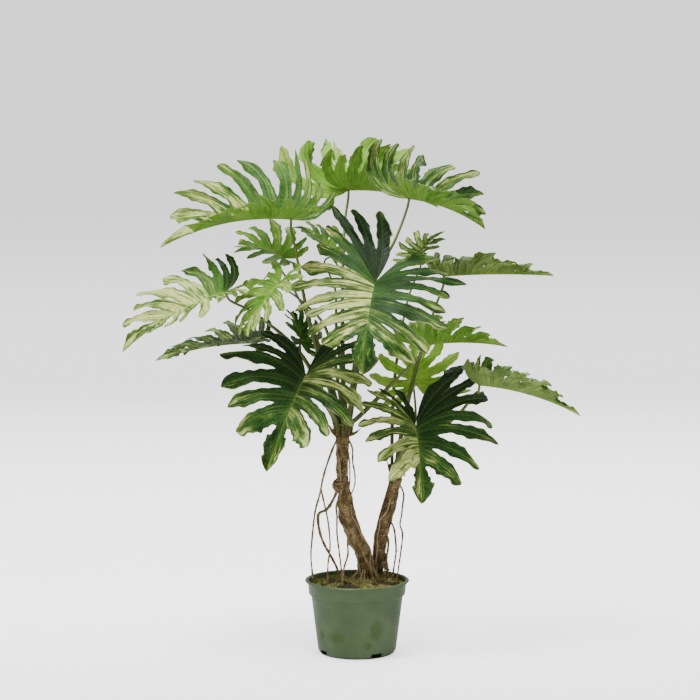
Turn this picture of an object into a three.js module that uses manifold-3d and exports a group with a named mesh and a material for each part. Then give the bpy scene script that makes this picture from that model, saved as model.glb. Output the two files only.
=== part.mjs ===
// A tree philodendron with two fibrous trunks and deeply cut leaves, standing in a plastic nursery pot.
// Millimetres, +Z up. The origin is the centre of the pot's flat underside. +Y points to the back.
import * as THREE from 'three';
import { mergeVertices } from 'three/addons/utils/BufferGeometryUtils.js';
import Module from 'manifold-3d';

const wasm = await Module();
wasm.setup();

// ---- Driving dimensions ------------------------------------------------------------------------

const GAP = 0.35;                    // clearance between neighbouring pieces
const POT_HEIGHT = 152;
const POT_LIP_RADIUS = 107;          // outer edge of the rolled lip
const POT_BAND_RADIUS = 101;         // outside of the stiffened band under the lip
const POT_BAND_HEIGHT = 30;
const POT_SHOULDER_RADIUS = 94;      // body just under the band
const POT_FOOT_RADIUS = 80;          // body just above the rounded foot
const POT_BASE_RADIUS = 75;
const POT_WALL = 1.8;
const POT_FLOOR = 3;
const POT_SECTORS = 24;
const NOTCH = { count: 4, width: 24, height: 8, depth: 12, turn: 30 };

const SOIL_LEVEL = 141;              // at the wall, below the lip
const SOIL_MOUND = 8;                // how much higher the middle stands

const BLADE_THICKNESS = 0.9;
const STALK_RADII = [4.2, 4.8, 4.9, 4.6, 4.2, 3.6, 3.1, 2.7, 2.5];   // from the socket up to the blade
const STALK_SIDES = 5;
const STALK_STEPS = 7;
const SMALL_STALK = 0.8;             // a small leaf's stalk is thinner by this

const COLOURS = {
  pot: 0x5f7855,
  soil: 0x3c2f22,
  bark: 0x785f41,
  stalk: 0x6f7a3c,
  green: 0x3f6b2c,
  lime: 0x93a83a,
  cream: 0xb9c08a,
  olive: 0x6f7f33,
};

// ---- Helpers -----------------------------------------------------------------------------------

const radians = THREE.MathUtils.degToRad;
const vector = (p) => new THREE.Vector3(p[0], p[1], p[2]);

// Seeded draws between 0 and 1, so that the plant grows the same way every time.
function draws(seed) {
  let state = seed * 7919 + 17;
  return () => {
    state = (state * 16807) % 2147483647;
    return state / 2147483647;
  };
}

function geometryFrom(points, triangles) {
  const geometry = new THREE.BufferGeometry();
  geometry.setAttribute('position', new THREE.Float32BufferAttribute(points.flat(), 3));
  geometry.setIndex(triangles.flat());
  return geometry;
}

function toSolid(geometry) {
  const bare = geometry.clone();
  bare.deleteAttribute('normal');
  bare.deleteAttribute('uv');
  const merged = mergeVertices(bare, 1e-4);
  return new wasm.Manifold(new wasm.Mesh({
    numProp: 3,
    vertProperties: new Float32Array(merged.attributes.position.array),
    triVerts: new Uint32Array(merged.index.array),
  }));
}

// The largest connected body of a solid: crumbs that a cut leaves loose are dropped.
function largestBody(solid) {
  const bodies = solid.decompose();
  bodies.sort((a, b) => b.volume() - a.volume());
  return bodies[0];
}

function toGeometry(solid) {
  const mesh = solid.getMesh();
  const geometry = new THREE.BufferGeometry();
  geometry.setAttribute('position', new THREE.Float32BufferAttribute(mesh.vertProperties, 3));
  geometry.setIndex(new THREE.BufferAttribute(new Uint32Array(mesh.triVerts), 1));
  return geometry;
}

const plant = new THREE.Group();

function addPiece(name, geometry, color, roughness) {
  const material = new THREE.MeshStandardMaterial({ color, roughness, metalness: 0 });
  const mesh = new THREE.Mesh(geometry, material);
  mesh.name = name;
  plant.add(mesh);
}

// Closed mesh of rings: each ring is a list of as many points, and a cap point closes either end.
function ringsToGeometry(rings, startCap, endCap) {
  const count = rings[0].length;
  const points = rings.flat();
  const start = points.push(startCap) - 1;
  const end = points.push(endCap) - 1;
  const triangles = [];
  const last = (rings.length - 1) * count;
  for (let j = 0; j < count; j++) {
    const k = (j + 1) % count;
    triangles.push([start, k, j]);
    triangles.push([end, last + j, last + k]);
    for (let i = 0; i < rings.length - 1; i++) {
      const a = i * count;
      const b = a + count;
      triangles.push([a + j, a + k, b + k]);
      triangles.push([a + j, b + k, b + j]);
    }
  }
  return geometryFrom(points, triangles);
}

// A tube along a smooth curve through the points. radiusAt takes the way along it, 0 to 1, and the
// angle around it. grow makes the tube thicker and longer all over, for the hole it stands in.
function tube(path, radiusAt, sides, steps, grow = 0) {
  const curve = new THREE.CatmullRomCurve3(path.map(vector), false, 'centripetal');
  const frames = curve.computeFrenetFrames(steps, false);
  const rings = [];
  for (let i = 0; i <= steps; i++) {
    const t = i / steps;
    const centre = curve.getPointAt(t);
    if (i === 0) centre.addScaledVector(frames.tangents[0], -grow);
    if (i === steps) centre.addScaledVector(frames.tangents[steps], grow);
    const ring = [];
    for (let j = 0; j < sides; j++) {
      const angle = (2 * Math.PI * j) / sides;
      const radius = radiusAt(t, angle) + grow;
      const point = centre.clone();
      point.addScaledVector(frames.normals[i], radius * Math.cos(angle));
      point.addScaledVector(frames.binormals[i], radius * Math.sin(angle));
      ring.push(point.toArray());
    }
    rings.push(ring);
  }
  const startCap = curve.getPointAt(0).addScaledVector(frames.tangents[0], -grow).toArray();
  const endCap = curve.getPointAt(1).addScaledVector(frames.tangents[steps], grow).toArray();
  return ringsToGeometry(rings, startCap, endCap);
}

// Straight-line reading of a list of values spread evenly from 0 to 1.
function reading(values, t) {
  const place = Math.min(Math.max(t, 0), 1) * (values.length - 1);
  const index = Math.min(Math.floor(place), values.length - 2);
  return THREE.MathUtils.lerp(values[index], values[index + 1], place - index);
}

// ---- Pot ---------------------------------------------------------------------------------------

function buildPot() {
  const bandFoot = POT_HEIGHT - POT_BAND_HEIGHT;
  const profile = [
    [0, 0],
    [POT_BASE_RADIUS - 2, 0],
    [POT_BASE_RADIUS + 2, 2.5],
    [POT_FOOT_RADIUS, 9],
    [POT_SHOULDER_RADIUS, bandFoot - 2.5],
    [POT_BAND_RADIUS - 2.5, bandFoot],
    [POT_BAND_RADIUS, POT_HEIGHT - 5],
    [POT_LIP_RADIUS - 1, POT_HEIGHT - 4.5],
    [POT_LIP_RADIUS, POT_HEIGHT - 2],
    [POT_LIP_RADIUS - 2.5, POT_HEIGHT],
    [POT_BAND_RADIUS - POT_WALL, POT_HEIGHT - 1],
    [POT_BAND_RADIUS - 2.5 - POT_WALL, bandFoot + 1],
    [POT_SHOULDER_RADIUS - POT_WALL, bandFoot - 4],
    [POT_FOOT_RADIUS - POT_WALL - 0.5, 10],
    [POT_BASE_RADIUS - 1, POT_FLOOR],
    [0, POT_FLOOR],
  ].map((p) => new THREE.Vector2(p[0], p[1]));
  const body = new THREE.LatheGeometry(profile, POT_SECTORS);
  body.rotateX(Math.PI / 2);
  let solid = toSolid(body);
  for (let i = 0; i < NOTCH.count; i++) {
    const notch = new THREE.BoxGeometry(NOTCH.depth, NOTCH.width, NOTCH.height);
    notch.translate(POT_FOOT_RADIUS - 1, 0, POT_FLOOR + 0.4 + NOTCH.height / 2);
    notch.rotateZ(radians(NOTCH.turn + (i * 360) / NOTCH.count));
    solid = solid.subtract(toSolid(notch));
  }
  return solid;
}

// ---- Soil --------------------------------------------------------------------------------------

const SOIL_WALL = [
  [POT_BASE_RADIUS - 2, POT_FLOOR + GAP],
  [POT_FOOT_RADIUS - POT_WALL - 1.1, 10],
  [POT_SHOULDER_RADIUS - POT_WALL - 0.7, POT_HEIGHT - POT_BAND_HEIGHT - 4],
  [POT_BAND_RADIUS - 3.3 - POT_WALL, POT_HEIGHT - POT_BAND_HEIGHT + 2],
];

// Height of the soil: a low mound with lumps of moss and hollows between them.
function soilHeight(x, y) {
  const out = Math.hypot(x, y) / POT_BAND_RADIUS;
  const mound = SOIL_MOUND * (1 - out * out);
  const lumps = 2.1 * Math.sin(x / 11 + 1.3) * Math.sin(y / 13 + 0.4);
  const crumbs = 1.2 * Math.sin(x / 6.1 - y / 8.3) + 0.8 * Math.sin(x / 17 + y / 5.2);
  return SOIL_LEVEL + mound + lumps + crumbs;
}

function buildSoil(holes) {
  const ring = (radius, heightAt) => {
    const points = [];
    for (let j = 0; j < POT_SECTORS; j++) {
      const angle = (2 * Math.PI * j) / POT_SECTORS;
      const x = radius * Math.cos(angle);
      const y = radius * Math.sin(angle);
      points.push([x, y, heightAt(x, y)]);
    }
    return points;
  };
  const rings = SOIL_WALL.map(([radius, z]) => ring(radius, () => z));
  for (const radius of [97, 84, 70, 56, 42, 28, 14]) {
    rings.push(ring(radius, soilHeight));
  }
  const solid = toSolid(ringsToGeometry(rings, [0, 0, POT_FLOOR + GAP], [0, 0, soilHeight(0, 0)]));
  return holes.reduce((left, hole) => left.subtract(hole), solid);
}

// ---- Trunks and aerial roots -------------------------------------------------------------------

// Old bark: rings left by shed leaves, and low ribs of fibre around them.
function barkRadius(radii, rings) {
  return (t, angle) => {
    const scar = 1 + 0.05 * Math.cos(2 * Math.PI * rings * t);
    const fibre = 1 + 0.06 * Math.sin(3 * angle + 9 * t) + 0.04 * Math.sin(5 * angle - 14 * t);
    return reading(radii, t) * scar * fibre;
  };
}

const TALL_TRUNK = {
  path: [[21, 32, 112], [20, 30, 156], [17, 22, 179], [12, 14, 207], [-2, 6, 232], [-12, 2, 258],
    [-20, 0, 280], [-25, 0, 306], [-27, 0, 330], [-31, 3, 364], [-30, 4, 410], [-29, 5, 446],
    [-29, 5, 472]],
  radii: [16, 16, 16.5, 15.5, 15, 15.5, 16.5, 17, 16, 11.8, 11.4, 11.8, 12, 13, 21],
  rings: 12,
  sides: 8,
  steps: 26,
  burl: { at: [-36, 0, 345], radius: 15, stretch: [1, 0.9, 1.05] },
};

const SHORT_TRUNK = {
  path: [[40, 62, 118], [41, 60, 150], [44, 50, 176], [46, 42, 206], [50, 38, 232], [58, 35, 268],
    [66, 31, 300], [74, 28, 331], [80, 26, 360], [81, 25, 384]],
  radii: [10, 11, 11, 11.5, 12, 13, 13.5, 13, 12.5, 12, 12, 16],
  rings: 9,
  sides: 8,
  steps: 18,
};

// Each root leaves the bark at its first point and ends in the soil, or on the bark again.
const TALL_ROOTS = [
  { radius: 2.2, path: [[-38, -4, 446], [-48, -14, 426], [-60, -18, 394], [-68, -21, 368],
    [-76, -23, 330], [-85, -24, 296], [-91, -22, 245], [-94, -20, 205], [-91, -15, 163],
    [-88, -14, 130]] },
  { radius: 1.9, path: [[-74, -22, 343], [-67, -27, 313], [-59, -29, 275], [-55, -32, 224], [-59, -34, 190],
    [-60, -34, 162], [-59, -34, 132]] },
  { radius: 3.0, path: [[-38, 0, 342], [-49, -4, 316], [-62, -8, 297], [-78, -12, 288], [-76, -10, 250],
    [-66, -6, 222], [-52, 0, 196], [-41, 4, 172], [-37, 6, 150], [-36, 6, 128]] },
  { radius: 2.0, path: [[-34, -8, 324], [-42, -15, 308], [-41, -18, 282], [-41, -20, 250], [-37, -20, 215],
    [-33, -22, 182], [-31, -22, 160], [-31, -22, 132]] },
  { radius: 2.2, path: [[-14, -2, 262], [-19, -14, 240], [-19, -22, 205], [-26, -26, 182], [-29, -44, 160],
    [-30, -48, 132]] },
  { radius: 1.8, path: [[-22, 0, 448], [-10, -8, 423], [-9, -10, 394], [-5, -12, 372], [-5, -12, 348],
    [-14, -6, 324], [-20, -2, 314]] },
  { radius: 1.6, path: [[-26, -6, 440], [-18, -13, 415], [-15, -13, 381], [-16, -14, 345],
    [-22, -8, 326]] },
  { radius: 2.2, path: [[-8, 0, 250], [6, -8, 222], [16, -4, 196], [26, 0, 172], [33, 2, 152],
    [36, 2, 130]] },
];

const SHORT_ROOTS = [
  { radius: 1.9, path: [[82, 26, 352], [95, 17, 326], [93, 16, 300], [91, 16, 280], [88, 14, 262],
    [93, 12, 244], [90, 8, 210], [85, 4, 175], [82, 2, 152], [81, 2, 130]] },
  { radius: 2.0, path: [[62, 34, 278], [75, 24, 254], [79, 22, 228], [80, 19, 204], [76, 14, 176],
    [73, 10, 154], [72, 9, 130]] },
  { radius: 2.4, path: [[54, 36, 250], [64, 26, 226], [62, 22, 200], [58, 16, 176], [56, 12, 154],
    [56, 10, 130]] },
  { radius: 3.2, path: [[46, 46, 220], [58, 46, 192], [62, 44, 168], [64, 44, 150], [64, 44, 126]] },
];

// Brown papery sheaths around the young stalks: slim pointed scales that curve with the crown.
const TALL_SHEATHS = [
  { foot: [-40, -6, 448], tip: [-56, -8, 482], width: 7 },
  { foot: [-34, -12, 446], tip: [-44, -20, 478], width: 7 },
  { foot: [-20, -8, 448], tip: [-12, -14, 484], width: 6 },
  { foot: [-16, 4, 446], tip: [-2, 2, 470], width: 6 },
  { foot: [-30, 18, 448], tip: [-34, 28, 480], width: 7 },
];

const SHORT_SHEATHS = [
  { foot: [70, 20, 362], tip: [62, 12, 392], width: 6 },
  { foot: [84, 14, 364], tip: [92, 6, 396], width: 6 },
  { foot: [94, 24, 364], tip: [112, 24, 392], width: 7 },
  { foot: [80, 38, 364], tip: [84, 48, 394], width: 6 },
];

const ROOT_SIDES = 4;
const SHEATH_SIDES = 5;
const SHEATH_STEPS = 3;

function trunkPieces(trunk, roots, sheaths, grow) {
  const pieces = [tube(trunk.path, barkRadius(trunk.radii, trunk.rings), trunk.sides, trunk.steps, grow)];
  if (trunk.burl) {
    const burl = new THREE.IcosahedronGeometry(trunk.burl.radius + grow, 1);
    burl.scale(...trunk.burl.stretch);
    burl.translate(...trunk.burl.at);
    pieces.push(burl);
  }
  for (const root of roots) {
    const thick = root.radius;
    const radiusAt = (t, angle) => thick * (1.15 - 0.3 * t + 0.1 * Math.sin(31 * t + 2 * angle));
    pieces.push(tube(root.path, radiusAt, ROOT_SIDES, root.path.length, grow));
  }
  for (const sheath of sheaths) {
    const middle = sheath.foot.map((v, i) => (v + sheath.tip[i]) / 2 + (i === 2 ? -3 : 0));
    const flat = (angle) => 0.7 + 0.3 * Math.cos(2 * angle);
    const radiusAt = (t, angle) => sheath.width * (1 - 0.93 * t * t) * flat(angle);
    pieces.push(tube([sheath.foot, middle, sheath.tip], radiusAt, SHEATH_SIDES, SHEATH_STEPS, grow));
  }
  return pieces.map(toSolid);
}

function buildTrunk(trunk, roots, sheaths, stalkHoles) {
  const pieces = trunkPieces(trunk, roots, sheaths, 0);
  const whole = pieces.reduce((sum, piece) => sum.add(piece));
  return largestBody(stalkHoles.reduce((left, hole) => left.subtract(hole), whole));
}

// ---- Leaf blades -------------------------------------------------------------------------------

// Lobes from the back of the leaf to its tip, read at even steps: where each leaves the midrib, as a
// share of the midrib's length, the angle it leaves at, and its length as a share of the longest.
const LOBES = [
  [0, 0.02, 0.06, 0.14, 0.25, 0.38, 0.52],
  [146, 127, 109, 93, 79, 66, 54],
  [0.82, 0.95, 1, 1, 0.94, 0.84, 0.68],
];
const LOBE_COUNT = { large: 7, small: 6 };
const EXTRA_LOBES = [[0, 160, 0.9], [0, 173, 0.8], [0, 186, 0.72]];  // more back lobes of a wide half
const REAR_PART = 0.5;               // this part of them, from the back, takes the leaf's rear share
const TIP_BASE = 0.6;                // where the end lobe begins, as a share of the midrib
const END_WIDTH = 1.2;               // how much more of its room the end lobe fills
const SINUS = 0.27;                  // how far out the cuts between the lobes begin
const REAR_WEB = 0.2;                // how much further out they begin between the back lobes
const UNEVEN_CUT = 0.04;             // how much one cut differs from the next
const SWEEP = radians(20);           // lobes curve forward by this much from root to tip
const DROOP = 0.02;                  // how far a lobe's tip hangs, as a share of its length
const RIDGE = 2.2;                   // the blade rises this much between the veins
const REAR_EDGE = radians(15);       // the free back edge stands this far from the last vein
const BACK_LENGTH = 100;             // the length over which the back lobes' turn is given
const RUFFLE = 0.2;                  // how far a lobe's edges wave, as a share of its half width
const ARCH = 0.28;                   // how far both edges bend up or down together, as such a share
const VARIETY = { angle: 7, length: 0.24, droop: 0.25, ruffle: 0.25 };   // spread of the draws
const OUTLINE = { neck: 0.8, neckFade: 14, taper: 0.22, wave: 0.15, waves: 11, end: 5, blunt: 0.6 };
const FULL = 0.97;                   // the most of its room that a free lobe fills

// Where the outline of a free lobe has its points, from the cut (0) to the tip (1).
const SHORT_LOBE = 0.6;
const LONG_LOBE = 0.98;
const STATIONS = { short: [0, 0.72], middle: [0, 0.42, 0.86], long: [0, 0.15, 0.52, 0.87] };

// A leaf's own numbers, worked out from its table row.
function leafShape(row) {
  const draw = draws(row.seed);
  const at = vector(row.at);
  const tip = vector(row.tip);
  const chord = tip.clone().sub(at);
  const bend = radians(row.bend);
  const half = bend / 2;
  const length = (chord.length() * half) / Math.sin(half);
  const forward = chord.normalize();
  const up = new THREE.Vector3(0, 0, 1).addScaledVector(forward, -forward.z).normalize();
  up.applyAxisAngle(forward, radians(row.roll ?? 0));
  const side = up.clone().cross(forward);
  const along = forward.clone().multiplyScalar(Math.cos(half)).addScaledVector(up, Math.sin(half));
  const normal = up.clone().multiplyScalar(Math.cos(half)).addScaledVector(forward, -Math.sin(half));
  const sides = [1, -1].map((sign, index) => ({
    sign,
    fold: radians(row.fold[index]),
    curl: radians(row.curl[index]) / row.span[index],
    lobes: lobesOf(row, index, length, draw),
  }));
  return { at, side, along, normal, length, bend, back: radians(row.back), sides };
}

function lobesOf(row, side, length, draw) {
  const extras = EXTRA_LOBES.slice(0, row.extra?.[side] ?? 0).reverse();
  const count = row.lobes ?? (row.small ? LOBE_COUNT.small : LOBE_COUNT.large);
  const wayOf = (order) => ((row.until ?? 1) * order) / (count - 1);
  const lobeAt = (order) => LOBES.map((list) => reading(list, wayOf(order)));
  const usual = Array.from({ length: count }, (_, order) => lobeAt(order));
  const front = row.front?.[side] ?? 1;
  return [...extras, ...usual].map(([base, angle, share], index) => {
    const way = wayOf(index - extras.length);
    const behind = 1 - THREE.MathUtils.clamp(way / REAR_PART, 0, 1);
    const ahead = Math.max(way - REAR_PART, 0) / (1 - REAR_PART);
    const reach = share * THREE.MathUtils.lerp(1, row.rear[side], behind) * (1 + (front - 1) * ahead);
    const size = reach > LONG_LOBE && !row.small ? 'long' : 'middle';
    const spread = angle > 90 ? row.fan[side] : row.spread?.[side] ?? 1;
    return {
      base: base * length,
      angle: radians(90 + (angle - 90) * spread + VARIETY.angle * (draw() - 0.5)),
      length: row.span[side] * reach * (1 + VARIETY.length * (draw() - 0.5)),
      droop: DROOP + VARIETY.droop * (draw() - 0.5),
      sweep: row.straight ? SWEEP / 2 : SWEEP,
      slim: row.slim ?? 1,
      web: row.web?.[side] ?? 1,
      phase: 2 * Math.PI * draw(),
      ruffle: RUFFLE + VARIETY.ruffle * draw(),
      stations: STATIONS[reach < SHORT_LOBE ? 'short' : size],
    };
  });
}

// Bends the flat blade into its place. x runs along the midrib, y away from it, and lift stands off
// the blade. The midrib is an arc that droops ahead of the joint and turns up behind it, and each
// half is an arc across it that rises by its fold and curls down again.
function place(leaf, half, x, y, lift) {
  const turn = x > 0 ? leaf.bend / leaf.length : leaf.back / BACK_LENGTH;
  const ahead = Math.sign(x);
  const angle = turn * Math.abs(x);
  const run = (ahead * Math.sin(angle)) / turn;
  const fall = (ahead * (1 - Math.cos(angle))) / turn;
  const rise = half.fold - half.curl * y;
  const across = (Math.sin(half.fold) - Math.sin(rise)) / half.curl;
  const height = (Math.cos(rise) - Math.cos(half.fold)) / half.curl;
  const up = leaf.normal.clone().multiplyScalar(Math.cos(angle));
  up.addScaledVector(leaf.along, Math.sin(angle));
  const point = leaf.at.clone().addScaledVector(leaf.along, run).addScaledVector(leaf.normal, -fall);
  point.addScaledVector(up, height + lift * Math.cos(rise));
  point.addScaledVector(leaf.side, half.sign * (across - lift * Math.sin(rise)));
  return point.toArray();
}

// How far out the cut between two neighbouring lobes begins.
function cutBetween(first, second) {
  const turned = (first.angle + second.angle) / 2 - Math.PI / 2;
  const rear = THREE.MathUtils.clamp(turned / (Math.PI / 3), 0, 1);
  return SINUS + REAR_WEB * first.web * rear + UNEVEN_CUT * Math.sin(first.phase + second.phase);
}

// A lobe's centre vein in the flat blade.
function vein(lobe, t) {
  const angle = lobe.angle - lobe.sweep * t;
  return [lobe.base + lobe.length * t * Math.cos(angle), lobe.length * t * Math.sin(angle)];
}

// The line halfway between two neighbouring veins, which neither lobe crosses.
function between(first, second, t) {
  const a = vein(first, t);
  const b = vein(second, t);
  return [(a[0] + b[0]) / 2, (a[1] + b[1]) / 2];
}

// How much of the way to that line a free lobe fills: full at the cut, then a taper with slow waves
// and a rounded end.
function fill(lobe, u, edge) {
  const neck = OUTLINE.neck + (1 - OUTLINE.neck) * Math.exp(-OUTLINE.neckFade * u);
  const taper = -OUTLINE.taper * u;
  const wave = OUTLINE.wave * u * Math.sin(OUTLINE.waves * u + lobe.phase + edge);
  const slim = 1 + (lobe.slim - 1) * Math.min(4 * u, 1);
  const end = Math.pow(1 - Math.pow(u, OUTLINE.end), OUTLINE.blunt);
  return Math.min(slim * (neck + taper + wave) * end, FULL);
}

// A point of a free lobe. u is the way from the cut (0) to the tip (1). edge is -1, 0 or 1: back
// edge, centre vein or front edge.
function lobePoint(lobes, index, u, edge) {
  const lobe = lobes[index];
  const isEnd = index === lobes.length - 1;
  const wayAt = (cut) => cut + (1 - cut) * u;
  const cutBehind = cutBetween(lobe, lobes[index - 1]);
  const cutAhead = isEnd ? 0 : cutBetween(lobe, lobes[index + 1]);
  const droop = -lobe.droop * lobe.length * u * u;
  const centre = vein(lobe, wayAt(isEnd ? SINUS : (cutBehind + cutAhead) / 2));
  if (edge === 0) return { flat: centre, lift: droop };
  const border = between(lobe, lobes[index + edge], wayAt(edge < 0 ? cutBehind : cutAhead));
  const share = u > 0 ? fill(lobe, u, edge) : 1;
  const flat = [0, 1].map((i) => centre[i] + share * (border[i] - centre[i]));
  const width = Math.hypot(flat[0] - centre[0], flat[1] - centre[1]);
  const wave = edge * lobe.ruffle * width * Math.sin(7 * u + lobe.phase) * Math.min(3 * u, 1);
  const arch = ARCH * width * Math.sin(2 * lobe.phase) * Math.min(3 * u, 1);
  return { flat, lift: droop + RIDGE * share + wave + arch };
}

// Triangles of one half of the blade, as corner points, facing its upper side.
function halfBlade(leaf, half) {
  const triangles = [];
  const inner = half.lobes[0];
  const outer = {
    base: TIP_BASE * leaf.length, angle: 0, length: (1 - TIP_BASE) * leaf.length, sweep: 0, web: 1,
    slim: END_WIDTH, droop: 0, phase: inner.phase, ruffle: 0.15, stations: STATIONS.middle,
  };
  const rim = { ...inner, angle: inner.angle + 2 * REAR_EDGE, length: inner.length * 0.9 };
  const lobes = [rim, ...half.lobes, outer];
  const spot = (index, u, edge) => {
    const { flat, lift } = lobePoint(lobes, index, u, edge);
    return place(leaf, half, flat[0], flat[1], lift);
  };
  const onMidrib = (x) => place(leaf, half, x, 0, 0);
  const same = (a, b) => Math.hypot(a[0] - b[0], a[1] - b[1], a[2] - b[2]) < 1e-6;
  const face = (a, b, c) => {
    if (same(a, b) || same(b, c) || same(c, a)) return;
    triangles.push(half.sign > 0 ? [a, b, c] : [a, c, b]);
  };
  const quad = (a, b, c, d) => {
    face(a, b, c);
    face(a, c, d);
  };
  for (let index = 1; index <= half.lobes.length; index++) {
    const lobe = lobes[index];
    const base = onMidrib(lobe.base);
    const behind = index > 1 ? onMidrib((lobe.base + lobes[index - 1].base) / 2) : base;
    const ahead = onMidrib((lobe.base + lobes[index + 1].base) / 2);
    let rowNow = { back: behind, centre: base, front: ahead };
    for (const u of lobe.stations) {
      const row = { back: spot(index, u, -1), centre: spot(index, u, 0), front: spot(index, u, 1) };
      face(rowNow.back, rowNow.centre, row.centre);
      face(rowNow.back, row.centre, row.back);
      quad(rowNow.centre, rowNow.front, row.front, row.centre);
      rowNow = row;
    }
    const end = spot(index, 1, 0);
    face(rowNow.back, rowNow.centre, end);
    face(rowNow.centre, rowNow.front, end);
  }
  const last = lobes.length - 1;
  const root = onMidrib((outer.base + lobes[last - 1].base) / 2);
  let rowNow = { back: root, centre: root };
  for (const u of outer.stations) {
    const row = { back: spot(last, u, -1), centre: spot(last, u, 0) };
    face(rowNow.back, rowNow.centre, row.centre);
    face(rowNow.back, row.centre, row.back);
    rowNow = row;
  }
  face(rowNow.back, rowNow.centre, spot(last, 1, 0));
  return triangles;
}

// Gives a sheet of triangles its thickness: the same triangles on both faces, and a wall all round.
function thicken(triangles, thickness) {
  const sheet = mergeVertices(new THREE.BufferGeometry().setAttribute(
    'position', new THREE.Float32BufferAttribute(triangles.flat(2), 3)), 1e-3);
  sheet.computeVertexNormals();
  const position = sheet.attributes.position;
  const normal = sheet.attributes.normal;
  const count = position.count;
  const points = [];
  for (const offset of [thickness / 2, -thickness / 2]) {
    for (let i = 0; i < count; i++) {
      points.push([
        position.getX(i) + offset * normal.getX(i),
        position.getY(i) + offset * normal.getY(i),
        position.getZ(i) + offset * normal.getZ(i),
      ]);
    }
  }
  const faces = [];
  const edges = new Set();
  for (let i = 0; i < sheet.index.count; i += 3) {
    const corners = [0, 1, 2].map((k) => sheet.index.getX(i + k));
    faces.push(corners);
    faces.push([corners[2] + count, corners[1] + count, corners[0] + count]);
    corners.forEach((corner, k) => edges.add(`${corner},${corners[(k + 1) % 3]}`));
  }
  for (const edge of edges) {
    const [from, to] = edge.split(',').map(Number);
    if (edges.has(`${to},${from}`)) continue;
    faces.push([to, from, from + count]);
    faces.push([to, from + count, to + count]);
  }
  return geometryFrom(points, faces);
}

function buildBlade(row) {
  const leaf = leafShape(row);
  return thicken(leaf.sides.flatMap((half) => halfBlade(leaf, half)), BLADE_THICKNESS);
}

// ---- Leaves ------------------------------------------------------------------------------------

const TALL_CROWN = { centre: [-29, 5, 460], ring: 16, foot: -11 };
const SHORT_CROWN = { centre: [80, 25, 374], ring: 11, foot: -9 };

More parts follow.
